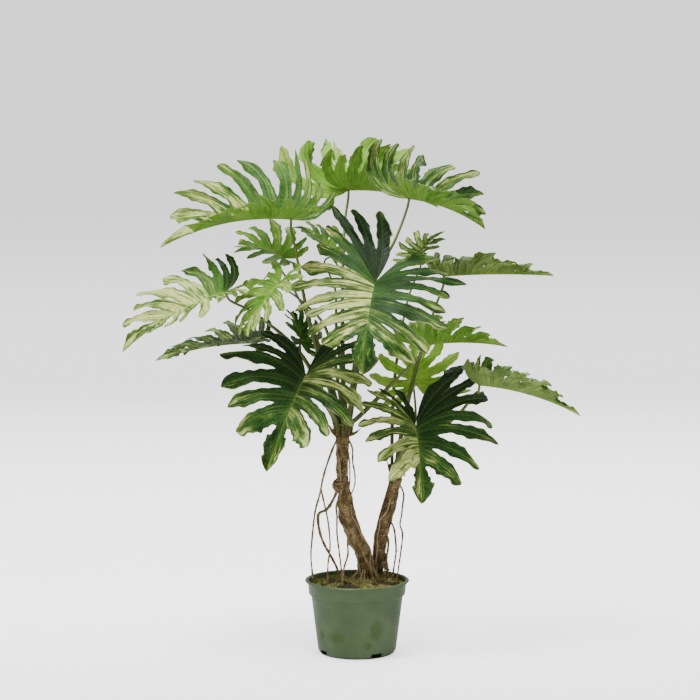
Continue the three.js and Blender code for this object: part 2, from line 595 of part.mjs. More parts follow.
// One row a leaf. at and tip: the two ends of the midrib. bend: how far the midrib arches. back:
// how far the back lobes turn up in 100 mm. lobes: how many each half has. until: how far along the
// list of lobes they reach, which is less where the end lobe is broad. Then for each half: extra,
// how many more at the back; fan and spread, how far round its back and front lobes stand; fold and
// curl, its rise and droop; span, its longest lobe; rear and front, the back and front lobes' share
// of that; web, how far out the cuts between its back lobes begin. slim: how much of their room the
// lobes fill. straight: lobes that hardly curve forward. roll: a turn about the midrib. small: a leaf
// with fewer and plainer lobes. crown, turn, ring: where the stalk stands. via: where it passes.
const LEAVES = [
  { name: 'top_left', at: [-134, 10, 887], tip: [-395, -30, 831],
    bend: 34, back: 32, fan: [1, 1.3],
    fold: [26, 66], curl: [15, 20], span: [140, 155], rear: [1, 1], seed: 20, colour: 'lime',
    crown: TALL_CROWN, turn: 190, via: [[-96, 8, 674], [-124, 5, 822]], ring: 6.5, slim: 0.9,
    extra: [0, 1], lobes: 9 },
  { name: 'top_back', at: [-17, 165, 943], tip: [172, 215, 905],
    bend: 26, back: 45, fan: [1.6, 1.3],
    fold: [62, 58], curl: [15, 15], span: [130, 110], rear: [1.55, 1.4], seed: 31, colour: 'lime',
    crown: TALL_CROWN, turn: 80, via: [[-30, 70, 680], [-25, 145, 877]], extra: [1, 0] },
  { name: 'top_right', at: [106, 30, 928], tip: [258, 0, 867],
    bend: 30, back: 40, fan: [1.3, 1],
    fold: [54, 34], curl: [15, 20], span: [120, 118], rear: [1.7, 0.9], seed: 5, colour: 'green',
    crown: TALL_CROWN, turn: 35, via: [[37, 25, 763], [79, 28, 848]], extra: [1, 0] },
  { name: 'left', at: [-263, -60, 745], tip: [-462, -135, 630],
    bend: 26, back: 55, fan: [1, 1.2],
    fold: [0, 45], curl: [5, 20], span: [100, 130], rear: [0.8, 1], seed: 27, colour: 'cream',
    crown: TALL_CROWN, turn: 195, via: [[-116, 8, 615], [-213, -34, 703]], slim: 0.95, lobes: 8 },
  { name: 'left_hanging', at: [-154, -95, 765], tip: [-215, -135, 660],
    bend: 30, back: 40, fan: [1, 1],
    fold: [15, 15], curl: [30, 30], span: [85, 98], rear: [1, 1], seed: 5, colour: 'cream',
    crown: TALL_CROWN, turn: 270, via: [[-64, 14, 665], [-112, -36, 724]], small: true, slim: 1.05 },
  { name: 'left_back', at: [-152, 72, 806], tip: [-245, 84, 832],
    bend: 30, back: 50, fan: [1.1, 1.1],
    fold: [0, 50], curl: [20, 20], span: [95, 95], rear: [1, 1], seed: 6, colour: 'lime',
    crown: TALL_CROWN, turn: 110, via: [[-90, 40, 661], [-128, 62, 738]], small: true, ring: 6.5 },
  { name: 'centre_back', at: [-55, 140, 805], tip: [-117, 165, 856],
    bend: 50, back: 40, fan: [1, 1],
    fold: [30, 30], curl: [30, 30], span: [88, 88], rear: [1, 1], seed: 7, colour: 'lime',
    crown: TALL_CROWN, turn: 20, ring: 6.5, via: [[-42, 48, 660], [-46, 118, 741]], small: true },
  { name: 'centre', at: [35, -75, 764], tip: [11, -160, 588],
    bend: 36, back: 20, fan: [0.72, 1],
    fold: [8, 8], curl: [25, 20], span: [175, 154], rear: [1, 1.55], seed: 8, colour: 'green',
    crown: TALL_CROWN, turn: 315, via: [[2, -22, 643], [26, -52, 726]], lobes: 8, extra: [0, 3],
    spread: [1, 0.6], front: [0.95, 0.9], web: [1, 1.25], straight: true, until: 0.93 },
  { name: 'right_upper', at: [178, 65, 769], tip: [402, 45, 770],
    bend: 8, back: 40, fan: [1, 1],
    fold: [32, 34], curl: [15, 15], span: [102, 100], rear: [0.8, 0.8], seed: 35, colour: 'olive',
    crown: SHORT_CROWN, turn: 80, via: [[116, 60, 558], [160, 68, 702]], slim: 1.3 },
  { name: 'right_back', at: [125, 115, 808], tip: [165, 150, 848],
    bend: 30, back: 30, fan: [1, 1],
    fold: [30, 30], curl: [30, 30], span: [62, 62], rear: [1, 1], seed: 10, colour: 'lime',
    crown: SHORT_CROWN, turn: 130, via: [[78, 90, 556], [106, 110, 719]], small: true },
  { name: 'right_middle', at: [127, -10, 631], tip: [303, -30, 631],
    bend: 22, back: 20, fan: [1, 1],
    fold: [40, 50], curl: [15, 15], span: [85, 85], rear: [1.4, 1.4], seed: 11, colour: 'lime',
    crown: TALL_CROWN, turn: 355, via: [[-10, 3, 475], [96, -5, 580]], slim: 1.1 },
  { name: 'right_low', at: [249, 0, 551], tip: [452, -20, 490],
    bend: 24, back: 70, fan: [1, 1],
    fold: [52, 46], curl: [20, 20], span: [75, 85], rear: [1.15, 1.3], seed: 36, colour: 'olive',
    crown: SHORT_CROWN, turn: 335, via: [[210, 30, 490], [243, 16, 534]], slim: 1.25 },
  { name: 'low_right', at: [118, -50, 471], tip: [128, -115, 325],
    bend: 36, back: 32, fan: [0.8, 0.85],
    fold: [15, 15], curl: [40, 40], span: [145, 118], rear: [1.55, 1.15], seed: 11, colour: 'green',
    crown: SHORT_CROWN, turn: 270, via: [[95, 0, 418], [109, -35, 457]],
    front: [0.85, 0.7], slim: 0.85, web: [1.8, 1], extra: [2, 3], lobes: 5, until: 0.8 },
  { name: 'low_back', at: [122, 100, 540], tip: [116, 128, 622],
    bend: 40, back: 30, fan: [0.8, 0.8],
    fold: [30, 30], curl: [30, 30], span: [110, 110], rear: [1, 1], seed: 14, colour: 'lime',
    crown: SHORT_CROWN, turn: 20, via: [[105, 50, 433], [121, 86, 473]], small: true },
  { name: 'low_left', at: [-103, -45, 576], tip: [-180, -125, 391],
    bend: 36, back: 50, fan: [1, 0.8],
    fold: [12, 22], curl: [40, 22], span: [140, 165], rear: [1.1, 1], seed: 18, colour: 'green',
    crown: TALL_CROWN, turn: 232, via: [[-59, -24, 511], [-91, -35, 554]], extra: [2, 0],
    front: [0.7, 0.85], roll: -35, slim: 1, lobes: 6, web: [1.2, 1.7], until: 0.85 },
  { name: 'left_low', at: [-208, 78, 630], tip: [-414, 50, 595],
    bend: 20, back: 40, fan: [1, 1],
    fold: [18, 35], curl: [20, 20], span: [86, 100], rear: [1, 1.1], seed: 12, colour: 'green',
    crown: TALL_CROWN, turn: 160, via: [[-116, 50, 575], [-167, 64, 616]], slim: 1 },
  { name: 'centre_low', at: [-116, 75, 630], tip: [-137, 90, 692],
    bend: 40, back: 20, fan: [1, 1],
    fold: [30, 30], curl: [30, 30], span: [70, 70], rear: [1, 1], seed: 17, colour: 'green',
    crown: TALL_CROWN, turn: 125, via: [[-68, 45, 529], [-98, 66, 580]], small: true },
];

const SOCKET_TOP = 16;               // height over the crown's centre where a stalk is out of its socket
const SOCKET_LEAN = 2;
const STALK_ELBOW = { behind: 1.5, below: 16 };   // from the back end of the blade's midrib
const STALK_END = { behind: 0.5, below: 0.8 };

// The stalk's line: out of its socket in the crown, past its via points, and up from below to the
// joint at the back end of the blade's midrib.
function stalkPath(row) {
  const { centre, ring, foot } = row.crown;
  const angle = radians(row.turn);
  const out = (distance, height) => [
    centre[0] + distance * Math.cos(angle),
    centre[1] + distance * Math.sin(angle),
    centre[2] + height,
  ];
  const leaf = leafShape(row);
  const under = ({ behind, below }) => leaf.at.clone()
    .addScaledVector(leaf.along, -behind)
    .addScaledVector(leaf.normal, -below)
    .toArray();
  const distance = row.ring ?? ring;
  return [
    out(distance, foot),
    out(distance + SOCKET_LEAN, SOCKET_TOP),
    ...row.via,
    under(STALK_ELBOW),
    under(STALK_END),
  ];
}

function stalk(row, grow) {
  const scale = row.small ? SMALL_STALK : 1;
  const radiusAt = (t) => scale * reading(STALK_RADII, t);
  return tube(stalkPath(row), radiusAt, STALK_SIDES, STALK_STEPS, grow);
}

// ---- Assembly ----------------------------------------------------------------------------------

addPiece('pot', toGeometry(buildPot()), COLOURS.pot, 0.45);

const standing = [
  ...trunkPieces(TALL_TRUNK, TALL_ROOTS, [], GAP),
  ...trunkPieces(SHORT_TRUNK, SHORT_ROOTS, [], GAP),
];
addPiece('soil', toGeometry(largestBody(buildSoil(standing))), COLOURS.soil, 0.95);

const socketsOf = (crown) => LEAVES.filter((row) => row.crown === crown)
  .map((row) => toSolid(stalk(row, GAP)));
const tallTrunk = buildTrunk(TALL_TRUNK, TALL_ROOTS, TALL_SHEATHS, socketsOf(TALL_CROWN));
const shortTrunk = buildTrunk(SHORT_TRUNK, SHORT_ROOTS, SHORT_SHEATHS, socketsOf(SHORT_CROWN));
addPiece('trunk_tall', toGeometry(tallTrunk), COLOURS.bark, 0.9);
addPiece('trunk_short', toGeometry(shortTrunk), COLOURS.bark, 0.9);

for (const row of LEAVES) {
  addPiece(`leaf_${row.name}_stalk`, stalk(row, 0), COLOURS.stalk, 0.6);
  addPiece(`leaf_${row.name}_blade`, buildBlade(row), COLOURS[row.colour], 0.55);
}

export default plant;
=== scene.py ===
# %% [markdown]
# # A tree philodendron in its nursery pot
#
# This lesson dresses a plant whose plain solids are already made. Those solids fix every place and
# size: the pot, the soil, two trunks with their hanging roots, and seventeen leaves, each a stalk and
# a blade. Here each solid gets a finer surface of the same form and a finish worked out by nodes.
#
# Every shape below is a surface worked out with numpy: a grid of points that depends on two numbers.
# Lengths in the tables are millimetres, and the meshes are in metres.

# %% Load the fixed frame
import math

import bpy
import numpy as np
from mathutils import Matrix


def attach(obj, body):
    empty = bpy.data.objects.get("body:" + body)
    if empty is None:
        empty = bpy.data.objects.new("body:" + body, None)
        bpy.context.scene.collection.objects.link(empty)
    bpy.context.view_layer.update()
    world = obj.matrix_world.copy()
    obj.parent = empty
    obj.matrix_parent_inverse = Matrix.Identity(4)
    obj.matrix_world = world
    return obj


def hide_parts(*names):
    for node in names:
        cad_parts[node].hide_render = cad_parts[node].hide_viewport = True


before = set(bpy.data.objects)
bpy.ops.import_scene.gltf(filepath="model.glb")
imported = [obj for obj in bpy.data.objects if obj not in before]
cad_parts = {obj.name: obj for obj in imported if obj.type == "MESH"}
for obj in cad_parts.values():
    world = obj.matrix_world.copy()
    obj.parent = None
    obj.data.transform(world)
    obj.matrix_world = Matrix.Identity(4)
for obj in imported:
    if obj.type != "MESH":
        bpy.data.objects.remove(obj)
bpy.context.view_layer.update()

MM = 0.001

# %% [markdown]
# ## Camera
#
# The plant is seen from far off with a long lens, a little above the leaves, so that the rim of the
# pot shows as a narrow oval and the leaves hardly shrink towards the back.

# %% Camera
CAMERA_PLACE = (-0.0145, -4.5, 1.03)
CAMERA_PITCH = 5.18
CAMERA_LENS, CAMERA_SENSOR = 114.6, 36

lens = bpy.data.cameras.new("camera")
lens.sensor_width, lens.lens = CAMERA_SENSOR, CAMERA_LENS
camera = bpy.data.objects.new("camera", lens)
camera.location = CAMERA_PLACE
camera.rotation_euler = (math.radians(90 - CAMERA_PITCH), 0, 0)
bpy.context.scene.collection.objects.link(camera)
bpy.context.scene.camera = camera
print("camera at", CAMERA_PLACE, "lens", CAMERA_LENS)

# %% [markdown]
# ## Helpers for surfaces
#
# A plant is full of thin sheets and tapered tubes. Both are grids: rows run along, columns run round
# or across. One helper turns a grid into triangles, one puts finished arrays into a mesh, and one
# gives soft random relief from a seeded table, so that every run grows the same plant.

# %% Grid and mesh helpers
def grid_triangles(rows, columns, closed=False):
    """Two triangles for each cell of a grid of points, row after row. A closed grid joins its last
    column to its first."""
    across = columns if closed else columns - 1
    row, column = np.meshgrid(np.arange(rows - 1), np.arange(across), indexing="ij")
    a = row * columns + column
    b = row * columns + (column + 1) % columns
    c, d = b + columns, a + columns
    first = np.stack([a, b, c], axis=-1)
    second = np.stack([a, c, d], axis=-1)
    return np.concatenate([first.reshape(-1, 3), second.reshape(-1, 3)])


def join_shapes(shapes):
    """Several (points, triangles) pairs as one pair: the points follow one another, and each
    triangle list is moved on by the points before it."""
    starts = np.cumsum([0] + [len(points) for points, _ in shapes[:-1]])
    points = np.concatenate([points for points, _ in shapes])
    triangles = np.concatenate([triangles + start for (_, triangles), start in zip(shapes, starts)])
    return points, triangles


def grid_of(*parts):
    """Points from their parts, each of them a number or an array that fits the others."""
    return np.stack(np.broadcast_arrays(*parts), axis=-1)


def full_turn(count):
    """Angles at even steps once round."""
    return np.linspace(0, 2 * np.pi, count, endpoint=False)


def object_of(name, data):
    """An object with its data, put into the scene."""
    thing = bpy.data.objects.new(name, data)
    bpy.context.scene.collection.objects.link(thing)
    return thing


def mesh_of(name, points, triangles, smooth=True):
    """A mesh from points in metres and triangles."""
    mesh = bpy.data.meshes.new(name)
    mesh.from_pydata(points.tolist(), [], triangles.tolist())
    mesh.polygons.foreach_set("use_smooth", np.full(len(triangles), smooth))
    return mesh


def make_piece(name, points, triangles, material, node, attributes, sharp):
    """A piece from points in millimetres and triangles. attributes are (name, domain, values), with
    three numbers for each point or corner. The piece stands for a solid and rides on the plant."""
    mesh = mesh_of(name, points * MM, triangles)
    for label, domain, values in attributes:
        layer = mesh.attributes.new(label, "FLOAT_VECTOR", domain)
        layer.data.foreach_set("vector", np.asarray(values, np.float32).ravel())
    mesh.set_sharp_from_angle(angle=math.radians(sharp))
    mesh.materials.append(material)
    piece = object_of(name, mesh)
    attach(piece, "root")
    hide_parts(node)
    print(name, "triangles:", len(triangles))
    return piece


# %% Soft random relief
def relief(x, y, seed, period=64):
    """Smooth random heights from -1 to 1: a table of seeded values at whole numbers of x and y, read
    between them with a smooth step. The heights repeat along x after the period."""
    table = np.random.RandomState(seed).uniform(-1, 1, (64, 64))
    left, low = np.floor(x).astype(int), np.floor(y).astype(int)
    u, v = x - left, y - low
    u, v = u * u * (3 - 2 * u), v * v * (3 - 2 * v)
    here, after = left % period, (left + 1) % period
    a, b = table[here, low % 64], table[after, low % 64]
    c, d = table[here, (low + 1) % 64], table[after, (low + 1) % 64]
    return (a * (1 - u) + b * u) * (1 - v) + (c * (1 - u) + d * u) * v


# %% [markdown]
# ## Tubes along a path
#
# Trunks, roots and stalks are tubes along smooth curves through a few chosen points. The curve is a
# centripetal Catmull-Rom spline, the same one that the plain solids follow. Frames that twist are
# avoided by measuring the tube's sides from one fixed direction that the path never points along.

# %% Path and tube
SPAN_STEPS = 60


def smooth_path(knots, count):
    """Points at equal distances along a centripetal Catmull-Rom spline through the knots. Each span
    is a cubic of its two end points and its two end slopes."""
    knots = np.asarray(knots, float)
    ends = np.vstack([2 * knots[0] - knots[1], knots, 2 * knots[-1] - knots[-2]])
    p0, p1, p2, p3 = ends[:-3], ends[1:-2], ends[2:-1], ends[3:]
    root = lambda d: np.sqrt(np.linalg.norm(d, axis=1, keepdims=True))
    d0, d1, d2 = root(p1 - p0), root(p2 - p1), root(p3 - p2)
    m1 = ((p1 - p0) / d0 - (p2 - p0) / (d0 + d1) + (p2 - p1) / d1) * d1
    m2 = ((p2 - p1) / d1 - (p3 - p1) / (d1 + d2) + (p3 - p2) / d2) * d1
    t = np.linspace(0, 1, SPAN_STEPS, endpoint=False)[None, :, None]
    p1, p2, m1, m2 = p1[:, None], p2[:, None], m1[:, None], m2[:, None]
    cubic = p1 + m1 * t + (3 * (p2 - p1) - 2 * m1 - m2) * t**2 + (2 * (p1 - p2) + m1 + m2) * t**3
    fine = np.vstack([cubic.reshape(-1, 3), knots[-1:]])
    way = np.concatenate([[0], np.cumsum(np.linalg.norm(np.diff(fine, axis=0), axis=1))])
    wanted = np.linspace(0, way[-1], count)
    return np.stack([np.interp(wanted, way, fine[:, i]) for i in range(3)], axis=1)


def side_directions(line):
    """Two directions across a path at each of its points. The first is the path's direction crossed
    with the axis it least points along, the second crosses the two."""
    tangent = np.gradient(line, axis=0)
    tangent /= np.linalg.norm(tangent, axis=1, keepdims=True)
    axis = np.eye(3)[np.argmin(np.abs(tangent).max(axis=0))]
    first = np.cross(tangent, axis)
    first /= np.linalg.norm(first, axis=1, keepdims=True)
    return first, np.cross(tangent, first)


def tube(knots, radius_at, steps, sides):
    """Closed tube: centre line plus radius times (cosine, sine) of the angle on the two side
    directions. radius_at takes the way along, 0 to 1, and the angle, both as arrays."""
    line = smooth_path(knots, steps + 1)
    first, second = side_directions(line)
    way, angle = np.linspace(0, 1, steps + 1)[:, None], full_turn(sides)[None, :]
    radius = np.broadcast_to(radius_at(way, angle), (steps + 1, sides))[..., None]
    across = np.cos(angle)[..., None] * first[:, None] + np.sin(angle)[..., None] * second[:, None]
    rings = (line[:, None] + radius * across).reshape(-1, 3)
    points = np.vstack([rings, line[:1], line[-1:]])
    around = np.arange(sides)
    after = (around + 1) % sides
    start, end, last = len(rings), len(rings) + 1, steps * sides
    caps = [np.stack([np.full(sides, start), around, after], axis=1),
            np.stack([np.full(sides, end), last + after, last + around], axis=1)]
    body = grid_triangles(steps + 1, sides, closed=True)[:, ::-1]
    return points, np.concatenate([body] + caps)


# %% [markdown]
# ## Node helpers
#
# A finish is a small network of nodes. Here a socket is wrapped as a value, and a sum written with
# values adds the Math nodes for it, so that each finish below reads as a short list of formulas.
# Effects that several finishes share are node groups.

# %% Node helpers
class Value:
    """What a socket gives. Sums with values add the Math nodes that work them out."""

    def __init__(self, socket):
        self.socket, self.tree = socket, socket.id_data

    def math(self, operation, *others):
        node = add(self.tree, "ShaderNodeMath", operation=operation)
        for value, socket in zip((self, *others), node.inputs):
            connect(value, socket)
        return Value(node.outputs[0])

    def __add__(self, other):
        return self.math("ADD", other)

    def __sub__(self, other):
        return self.math("SUBTRACT", other)

    def __mul__(self, other):
        return self.math("MULTIPLY", other)

    def __pow__(self, other):
        return self.math("POWER", other)


def connect(value, socket):
    """Links a value to a socket, or sets a plain number, vector or colour on it."""
    if isinstance(value, Value):
        value.tree.links.new(value.socket, socket)
    else:
        socket.default_value = value


def add(tree, kind, **settings):
    """One node of a tree. Settings that are attributes of the node are set on it, and the others,
    with spaces written as underscores, go to its inputs."""
    node = tree.nodes.new(kind)
    for key, value in settings.items():
        if hasattr(node, key):
            setattr(node, key, value)
        else:
            connect(value, node.inputs[key.replace("_", " ")])
    return node


# %% Nodes for colours, spans and places
def blend(share, low, high):
    """Colour between two colours by a share from 0 to 1."""
    node = add(share.tree, "ShaderNodeMix", data_type="RGBA")
    for value, index in ((share, 0), (low, 6), (high, 7)):
        connect(value, node.inputs[index])
    return Value(node.outputs[2])


def span(value, low, high):
    """A value's way from low to high as a number from 0 to 1, smoothed at both ends."""
    return Value(add(value.tree, "ShaderNodeMapRange", interpolation_type="SMOOTHSTEP", Value=value,
                     From_Min=low, From_Max=high).outputs[0])


def parts_of(vector):
    """The three numbers of a vector."""
    return [Value(part) for part in add(vector.tree, "ShaderNodeSeparateXYZ", Vector=vector).outputs]


def stretched(place, scale):
    """A place multiplied by three numbers."""
    return Value(add(place.tree, "ShaderNodeMapping", Vector=place, Scale=scale).outputs[0])


def rgb(red, green, blue):
    """A colour from its screen values, 0 to 255, as the linear numbers that the nodes use."""
    linear = lambda c: c / 12.92 if c <= 0.04045 else ((c + 0.055) / 1.055) ** 2.4
    return tuple(linear(c / 255) for c in (red, green, blue)) + (1,)


# %% Materials and groups
def start_material(name, **settings):
    """A material, its Principled shader with some values set, and the place on the object."""
    material = bpy.data.materials.new(name)
    material.use_nodes = True
    shader = material.node_tree.nodes["Principled BSDF"]
    for key, value in settings.items():
        connect(value, shader.inputs[key.replace("_", " ")])
    return material, shader, Value(add(material.node_tree, "ShaderNodeTexCoord").outputs["Object"])


def stored(shader, name):
    """The vector that the mesh holds under a name."""
    return Value(add(shader.id_data, "ShaderNodeAttribute", attribute_name=name).outputs["Vector"])


def bump(shader, height, distance):
    """Sends a height in millimetres to the shader's normal."""
    node = add(height.tree, "ShaderNodeBump", Height=height, Distance=distance * MM)
    connect(Value(node.outputs[0]), shader.inputs["Normal"])


def start_group(name, inputs, outputs):
    """A node group. inputs gives each input's number, vector or colour, and outputs each kind."""
    group = bpy.data.node_groups.new(name, "ShaderNodeTree")
    for label, value in inputs.items():
        kind = {3: "Vector", 4: "Color"}[len(value)] if isinstance(value, tuple) else "Float"
        socket = group.interface.new_socket(label, in_out="INPUT", socket_type="NodeSocket" + kind)
        socket.default_value = value
    for label, kind in outputs.items():
        group.interface.new_socket(label, in_out="OUTPUT", socket_type="NodeSocket" + kind)
    given = {socket.name: Value(socket) for socket in group.nodes.new("NodeGroupInput").outputs}
    return group, given, group.nodes.new("NodeGroupOutput").inputs


def use_group(group, place, **values):
    """What a group gives at a place, with its other inputs linked or set by name."""
    node = add(place.tree, "ShaderNodeGroup", node_tree=group, Place=place, **values)
    return {socket.name: Value(socket) for socket in node.outputs}


# %% [markdown]
# ## A group for uneven surfaces
#
# Nothing on a living plant has one even colour. This group gives a broad patchiness and a fine grain
# at sizes that each finish chooses, stretched where the fibres run one way.

# %% Group: unevenness
UNEVEN, given, result = start_group(
    "unevenness", dict(Place=(0, 0, 0), Patches=20.0, Blotches=80.0, Grain=300.0),
    dict(Patch="Float", Blotch="Float", Fine="Float"))
for label, source in (("Patch", "Patches"), ("Blotch", "Blotches"), ("Fine", "Grain")):
    noise = add(UNEVEN, "ShaderNodeTexNoise", Vector=given["Place"], Scale=given[source],
                Detail=4.0, Roughness=0.6)
    connect(span(Value(noise.outputs[0]), 0.3, 0.7), result[label])
print(UNEVEN.name, "nodes:", len(UNEVEN.nodes))

# %% [markdown]
# ## The pot
#
# A nursery pot is thin moulded plastic: a wall that leans in to a smaller foot, a stiffer band under a
# rolled lip, and four drain notches where wall and floor meet. Turned things are easiest as a profile
# carried round an axis. Its corners are rounded first, because moulded plastic has no sharp corner.

# %% Turned shapes
def rounded(profile, size, count=5):
    """Rounds the corners of a line: each inner point gives way to a short curve, the parabola that
    starts and ends a little way along its two sides."""
    corner = np.asarray(profile, float)
    before, after = corner[:-2] - corner[1:-1], corner[2:] - corner[1:-1]
    reach = lambda d: np.minimum(size / np.linalg.norm(d, axis=1, keepdims=True), 0.45)
    start, end = corner[1:-1] + before * reach(before), corner[1:-1] + after * reach(after)
    t = np.linspace(0, 1, count)[None, :, None]
    curve = start[:, None] * (1 - t) ** 2 + 2 * corner[1:-1, None] * t * (1 - t) + end[:, None] * t**2
    return np.vstack([corner[:1], curve.reshape(-1, 2), corner[-1:]])


def weld(points, triangles, extra=None):
    """Merges points that lie on one another and drops triangles that lose their area by it. extra
    holds one row for each triangle and is thinned with them."""
    _, first, same = np.unique(np.round(points, 3), axis=0, return_index=True, return_inverse=True)
    triangles = same.reshape(-1)[triangles]
    a, b, c = triangles.T
    kept = (a != b) & (b != c) & (c != a)
    return points[first], triangles[kept], None if extra is None else extra[kept], first


def turned(profile, sectors):
    """A grid from a profile of radius and height carried round the upright axis: radius times
    cosine and sine of the turn, and the height as it is."""
    turn, radius, height = full_turn(sectors)[None, :], profile[:, :1], profile[:, 1:]
    return grid_of(radius * np.cos(turn), radius * np.sin(turn), height).reshape(-1, 3)


# %% Pot finish
# Green stains of algae: the place across and up, the half width and the half height.
STAINS = [(-40, 45, 15, 14), (38, 62, 14, 21), (22, 30, 8, 8), (-71, 45, 5, 12)]
pot_skin, shader, place = start_material("pot_plastic", IOR=1.46)
broad = use_group(UNEVEN, place, Patches=14.0, Grain=900.0)
ragged = use_group(UNEVEN, place, Patches=150.0, Grain=400.0)["Patch"]
right, behind, up = parts_of(place)


def stain_at(x, z, width, height):
    """1 inside an upright oval on the front, given in millimetres, with a ragged edge."""
    across, above = right * (1000 / width) - x / width, up * (1000 / height) - z / height
    return span(across * across + above * above + ragged, 2.1, 0.4) * span(behind, 0.0, -0.02)


stain = stain_at(*STAINS[0])
for oval in STAINS[1:]:
    stain = stain.math("MAXIMUM", stain_at(*oval))
colour = blend(broad["Patch"], rgb(60, 83, 46), rgb(75, 98, 57))
colour = blend(stain * 0.9, colour, rgb(56, 82, 20))
# Painted shade: the foot of the pot darkens below 7 mm, where it meets the floor.
colour = blend(span(up, 0.007, 0.0) * 0.7, colour, rgb(24, 38, 20))
connect(colour, shader.inputs["Base Color"])
connect(stain * 0.2 + 0.34, shader.inputs["Roughness"])
bump(shader, broad["Fine"], 0.03)
print(pot_skin.name, "stains:", len(STAINS))

# %% Pot
POT_HEIGHT, BAND_HEIGHT, WALL = 152, 30, 1.8
LIP, BAND, SHOULDER, FOOT, BASE = 107, 101, 94, 80, 75
POT_FLOOR, CORNER_SIZE, POT_SECTORS, POT_SHARP = 3, 1.6, 144, 35
NOTCH = dict(count=4, width=24, height=8, depth=12, turn=30)

band_foot = POT_HEIGHT - BAND_HEIGHT
pot_profile = [
    (0, 0), (BASE - 2, 0), (BASE + 2, 2.5), (FOOT, 9), (SHOULDER, band_foot - 2.5),
    (BAND - 2.5, band_foot), (BAND, POT_HEIGHT - 5), (LIP - 1, POT_HEIGHT - 4.5), (LIP, POT_HEIGHT - 2),
    (LIP - 2.5, POT_HEIGHT), (BAND - WALL, POT_HEIGHT - 1), (BAND - 2.5 - WALL, band_foot + 1),
    (SHOULDER - WALL, band_foot - 4), (FOOT - WALL - 0.5, 10), (BASE - 1, POT_FLOOR), (0, POT_FLOOR),
]
profile = rounded(pot_profile, CORNER_SIZE)
points, triangles, _, _ = weld(turned(profile, POT_SECTORS), grid_triangles(len(profile), POT_SECTORS, True))
pot = make_piece("pot_shell", points, triangles[:, ::-1], pot_skin, "pot", (), POT_SHARP)


def block(centre, size, turn):
    """A box as eight corner points and twelve triangles, turned about the upright axis."""
    x, y, z = ((np.indices((2, 2, 2)).reshape(3, -1).T - 0.5) * size + centre).T
    sine, cosine = math.sin(math.radians(turn)), math.cos(math.radians(turn))
    corner = np.stack([x * cosine - y * sine, x * sine + y * cosine, z], axis=1)
    faces = [(0, 1, 3), (0, 3, 2), (4, 6, 7), (4, 7, 5), (0, 4, 5), (0, 5, 1),
             (2, 3, 7), (2, 7, 6), (0, 2, 6), (0, 6, 4), (1, 5, 7), (1, 7, 3)]
    return corner, np.array(faces)


def cut_away(piece, shapes):
    """Takes boxes out of a piece with a Boolean, and keeps the result as the piece's own mesh."""
    points, triangles = join_shapes(shapes)
    cutter = object_of("cutter", mesh_of("cutter", points * MM, triangles, smooth=False))
    step = piece.modifiers.new("notches", "BOOLEAN")
    step.operation, step.solver, step.object = "DIFFERENCE", "EXACT", cutter
    bpy.context.view_layer.update()
    done = bpy.data.meshes.new_from_object(piece.evaluated_get(bpy.context.evaluated_depsgraph_get()))
    piece.modifiers.clear()
    piece.data = done
    done.set_sharp_from_angle(angle=math.radians(POT_SHARP))
    bpy.data.objects.remove(cutter)
    print(piece.name, "faces after the cuts:", len(done.polygons))


notch_size = np.array([NOTCH["depth"], NOTCH["width"], NOTCH["height"]])
notch_centre = np.array([FOOT - 1, 0, POT_FLOOR + 0.4 + NOTCH["height"] / 2])
cut_away(pot, [block(notch_centre, notch_size, NOTCH["turn"] + i * 360 / NOTCH["count"])
               for i in range(NOTCH["count"])])

# %% [markdown]
# ## The soil
#
# The compost stands a finger's width under the lip and is half covered by dry yellow-green moss. The
# surface is a height for every radius and turn: a low mound, lumps, and finer and finer relief. Loose
# crumbs and short tufts of moss are scattered over it, and each grows out of the surface under it.

# %% Height of the soil
SOIL_LEVEL, SOIL_MOUND = 141, 8


def soil_height(x, y):
    """A mound that falls with the square of the distance from the middle, plus waves of three sizes."""
    mound = SOIL_MOUND * (1 - (x**2 + y**2) / BAND**2)
    lumps = 2.1 * np.sin(x / 11 + 1.3) * np.sin(y / 13 + 0.4)
    crumbs = 1.2 * np.sin(x / 6.1 - y / 8.3) + 0.8 * np.sin(x / 17 + y / 5.2)
    return SOIL_LEVEL + mound + lumps + crumbs


def soil_relief(x, y):
    """Finer relief on the soil: three layers of seeded heights, each half as high as the last."""
    return (1.1 * relief(x / 7 + 20, y / 7 + 20, 3) + 0.6 * relief(x / 3.1 + 20, y / 3.1 + 20, 4)
            + 0.35 * relief(x / 1.4 + 90, y / 1.4 + 90, 5))


def moss_share(x, y):
    """Where moss grows, 0 to 1: broad seeded patches, none in two bare hollows at the front."""
    patches = relief(x / 17 + 30, y / 17 + 30, 8) + 0.5 * relief(x / 6 + 30, y / 6 + 30, 9) + 0.35
    hollow = lambda at_x, at_y, size: np.exp(-((x - at_x) ** 2 + (y - at_y) ** 2) / size)
    bare = hollow(-28, -60, 500) + hollow(70, -20, 600)
    return np.clip(patches * 1.6 - 2.6 * bare + 0.55, 0, 1)


# %% Soil finish
soil_skin, shader, place = start_material("soil_and_moss", Roughness=0.95, Specular_IOR_Level=0.2)
mix = use_group(UNEVEN, place, Patches=240.0, Grain=620.0)
moss, height = parts_of(stored(shader, "cover"))[0], parts_of(place)[2]
earth = blend(mix["Fine"], rgb(34, 28, 18), rgb(86, 78, 52))
# Painted shade: the earth turns near black from 60 mm down to 30 mm and below, so the soil in the drain
# notches looks shadowed.
earth = blend(span(height, 0.06, 0.03), earth, rgb(8, 10, 6))
green = blend(mix["Patch"], rgb(76, 80, 30), rgb(208, 200, 124))
green = blend(span(mix["Fine"], 0.5, 0.25) * 0.8, green, rgb(40, 38, 16))
connect(blend(span(moss, 0.2, 0.7), earth, green), shader.inputs["Base Color"])
bump(shader, mix["Fine"], 0.5)
print(soil_skin.name, "nodes:", len(shader.id_data.nodes))

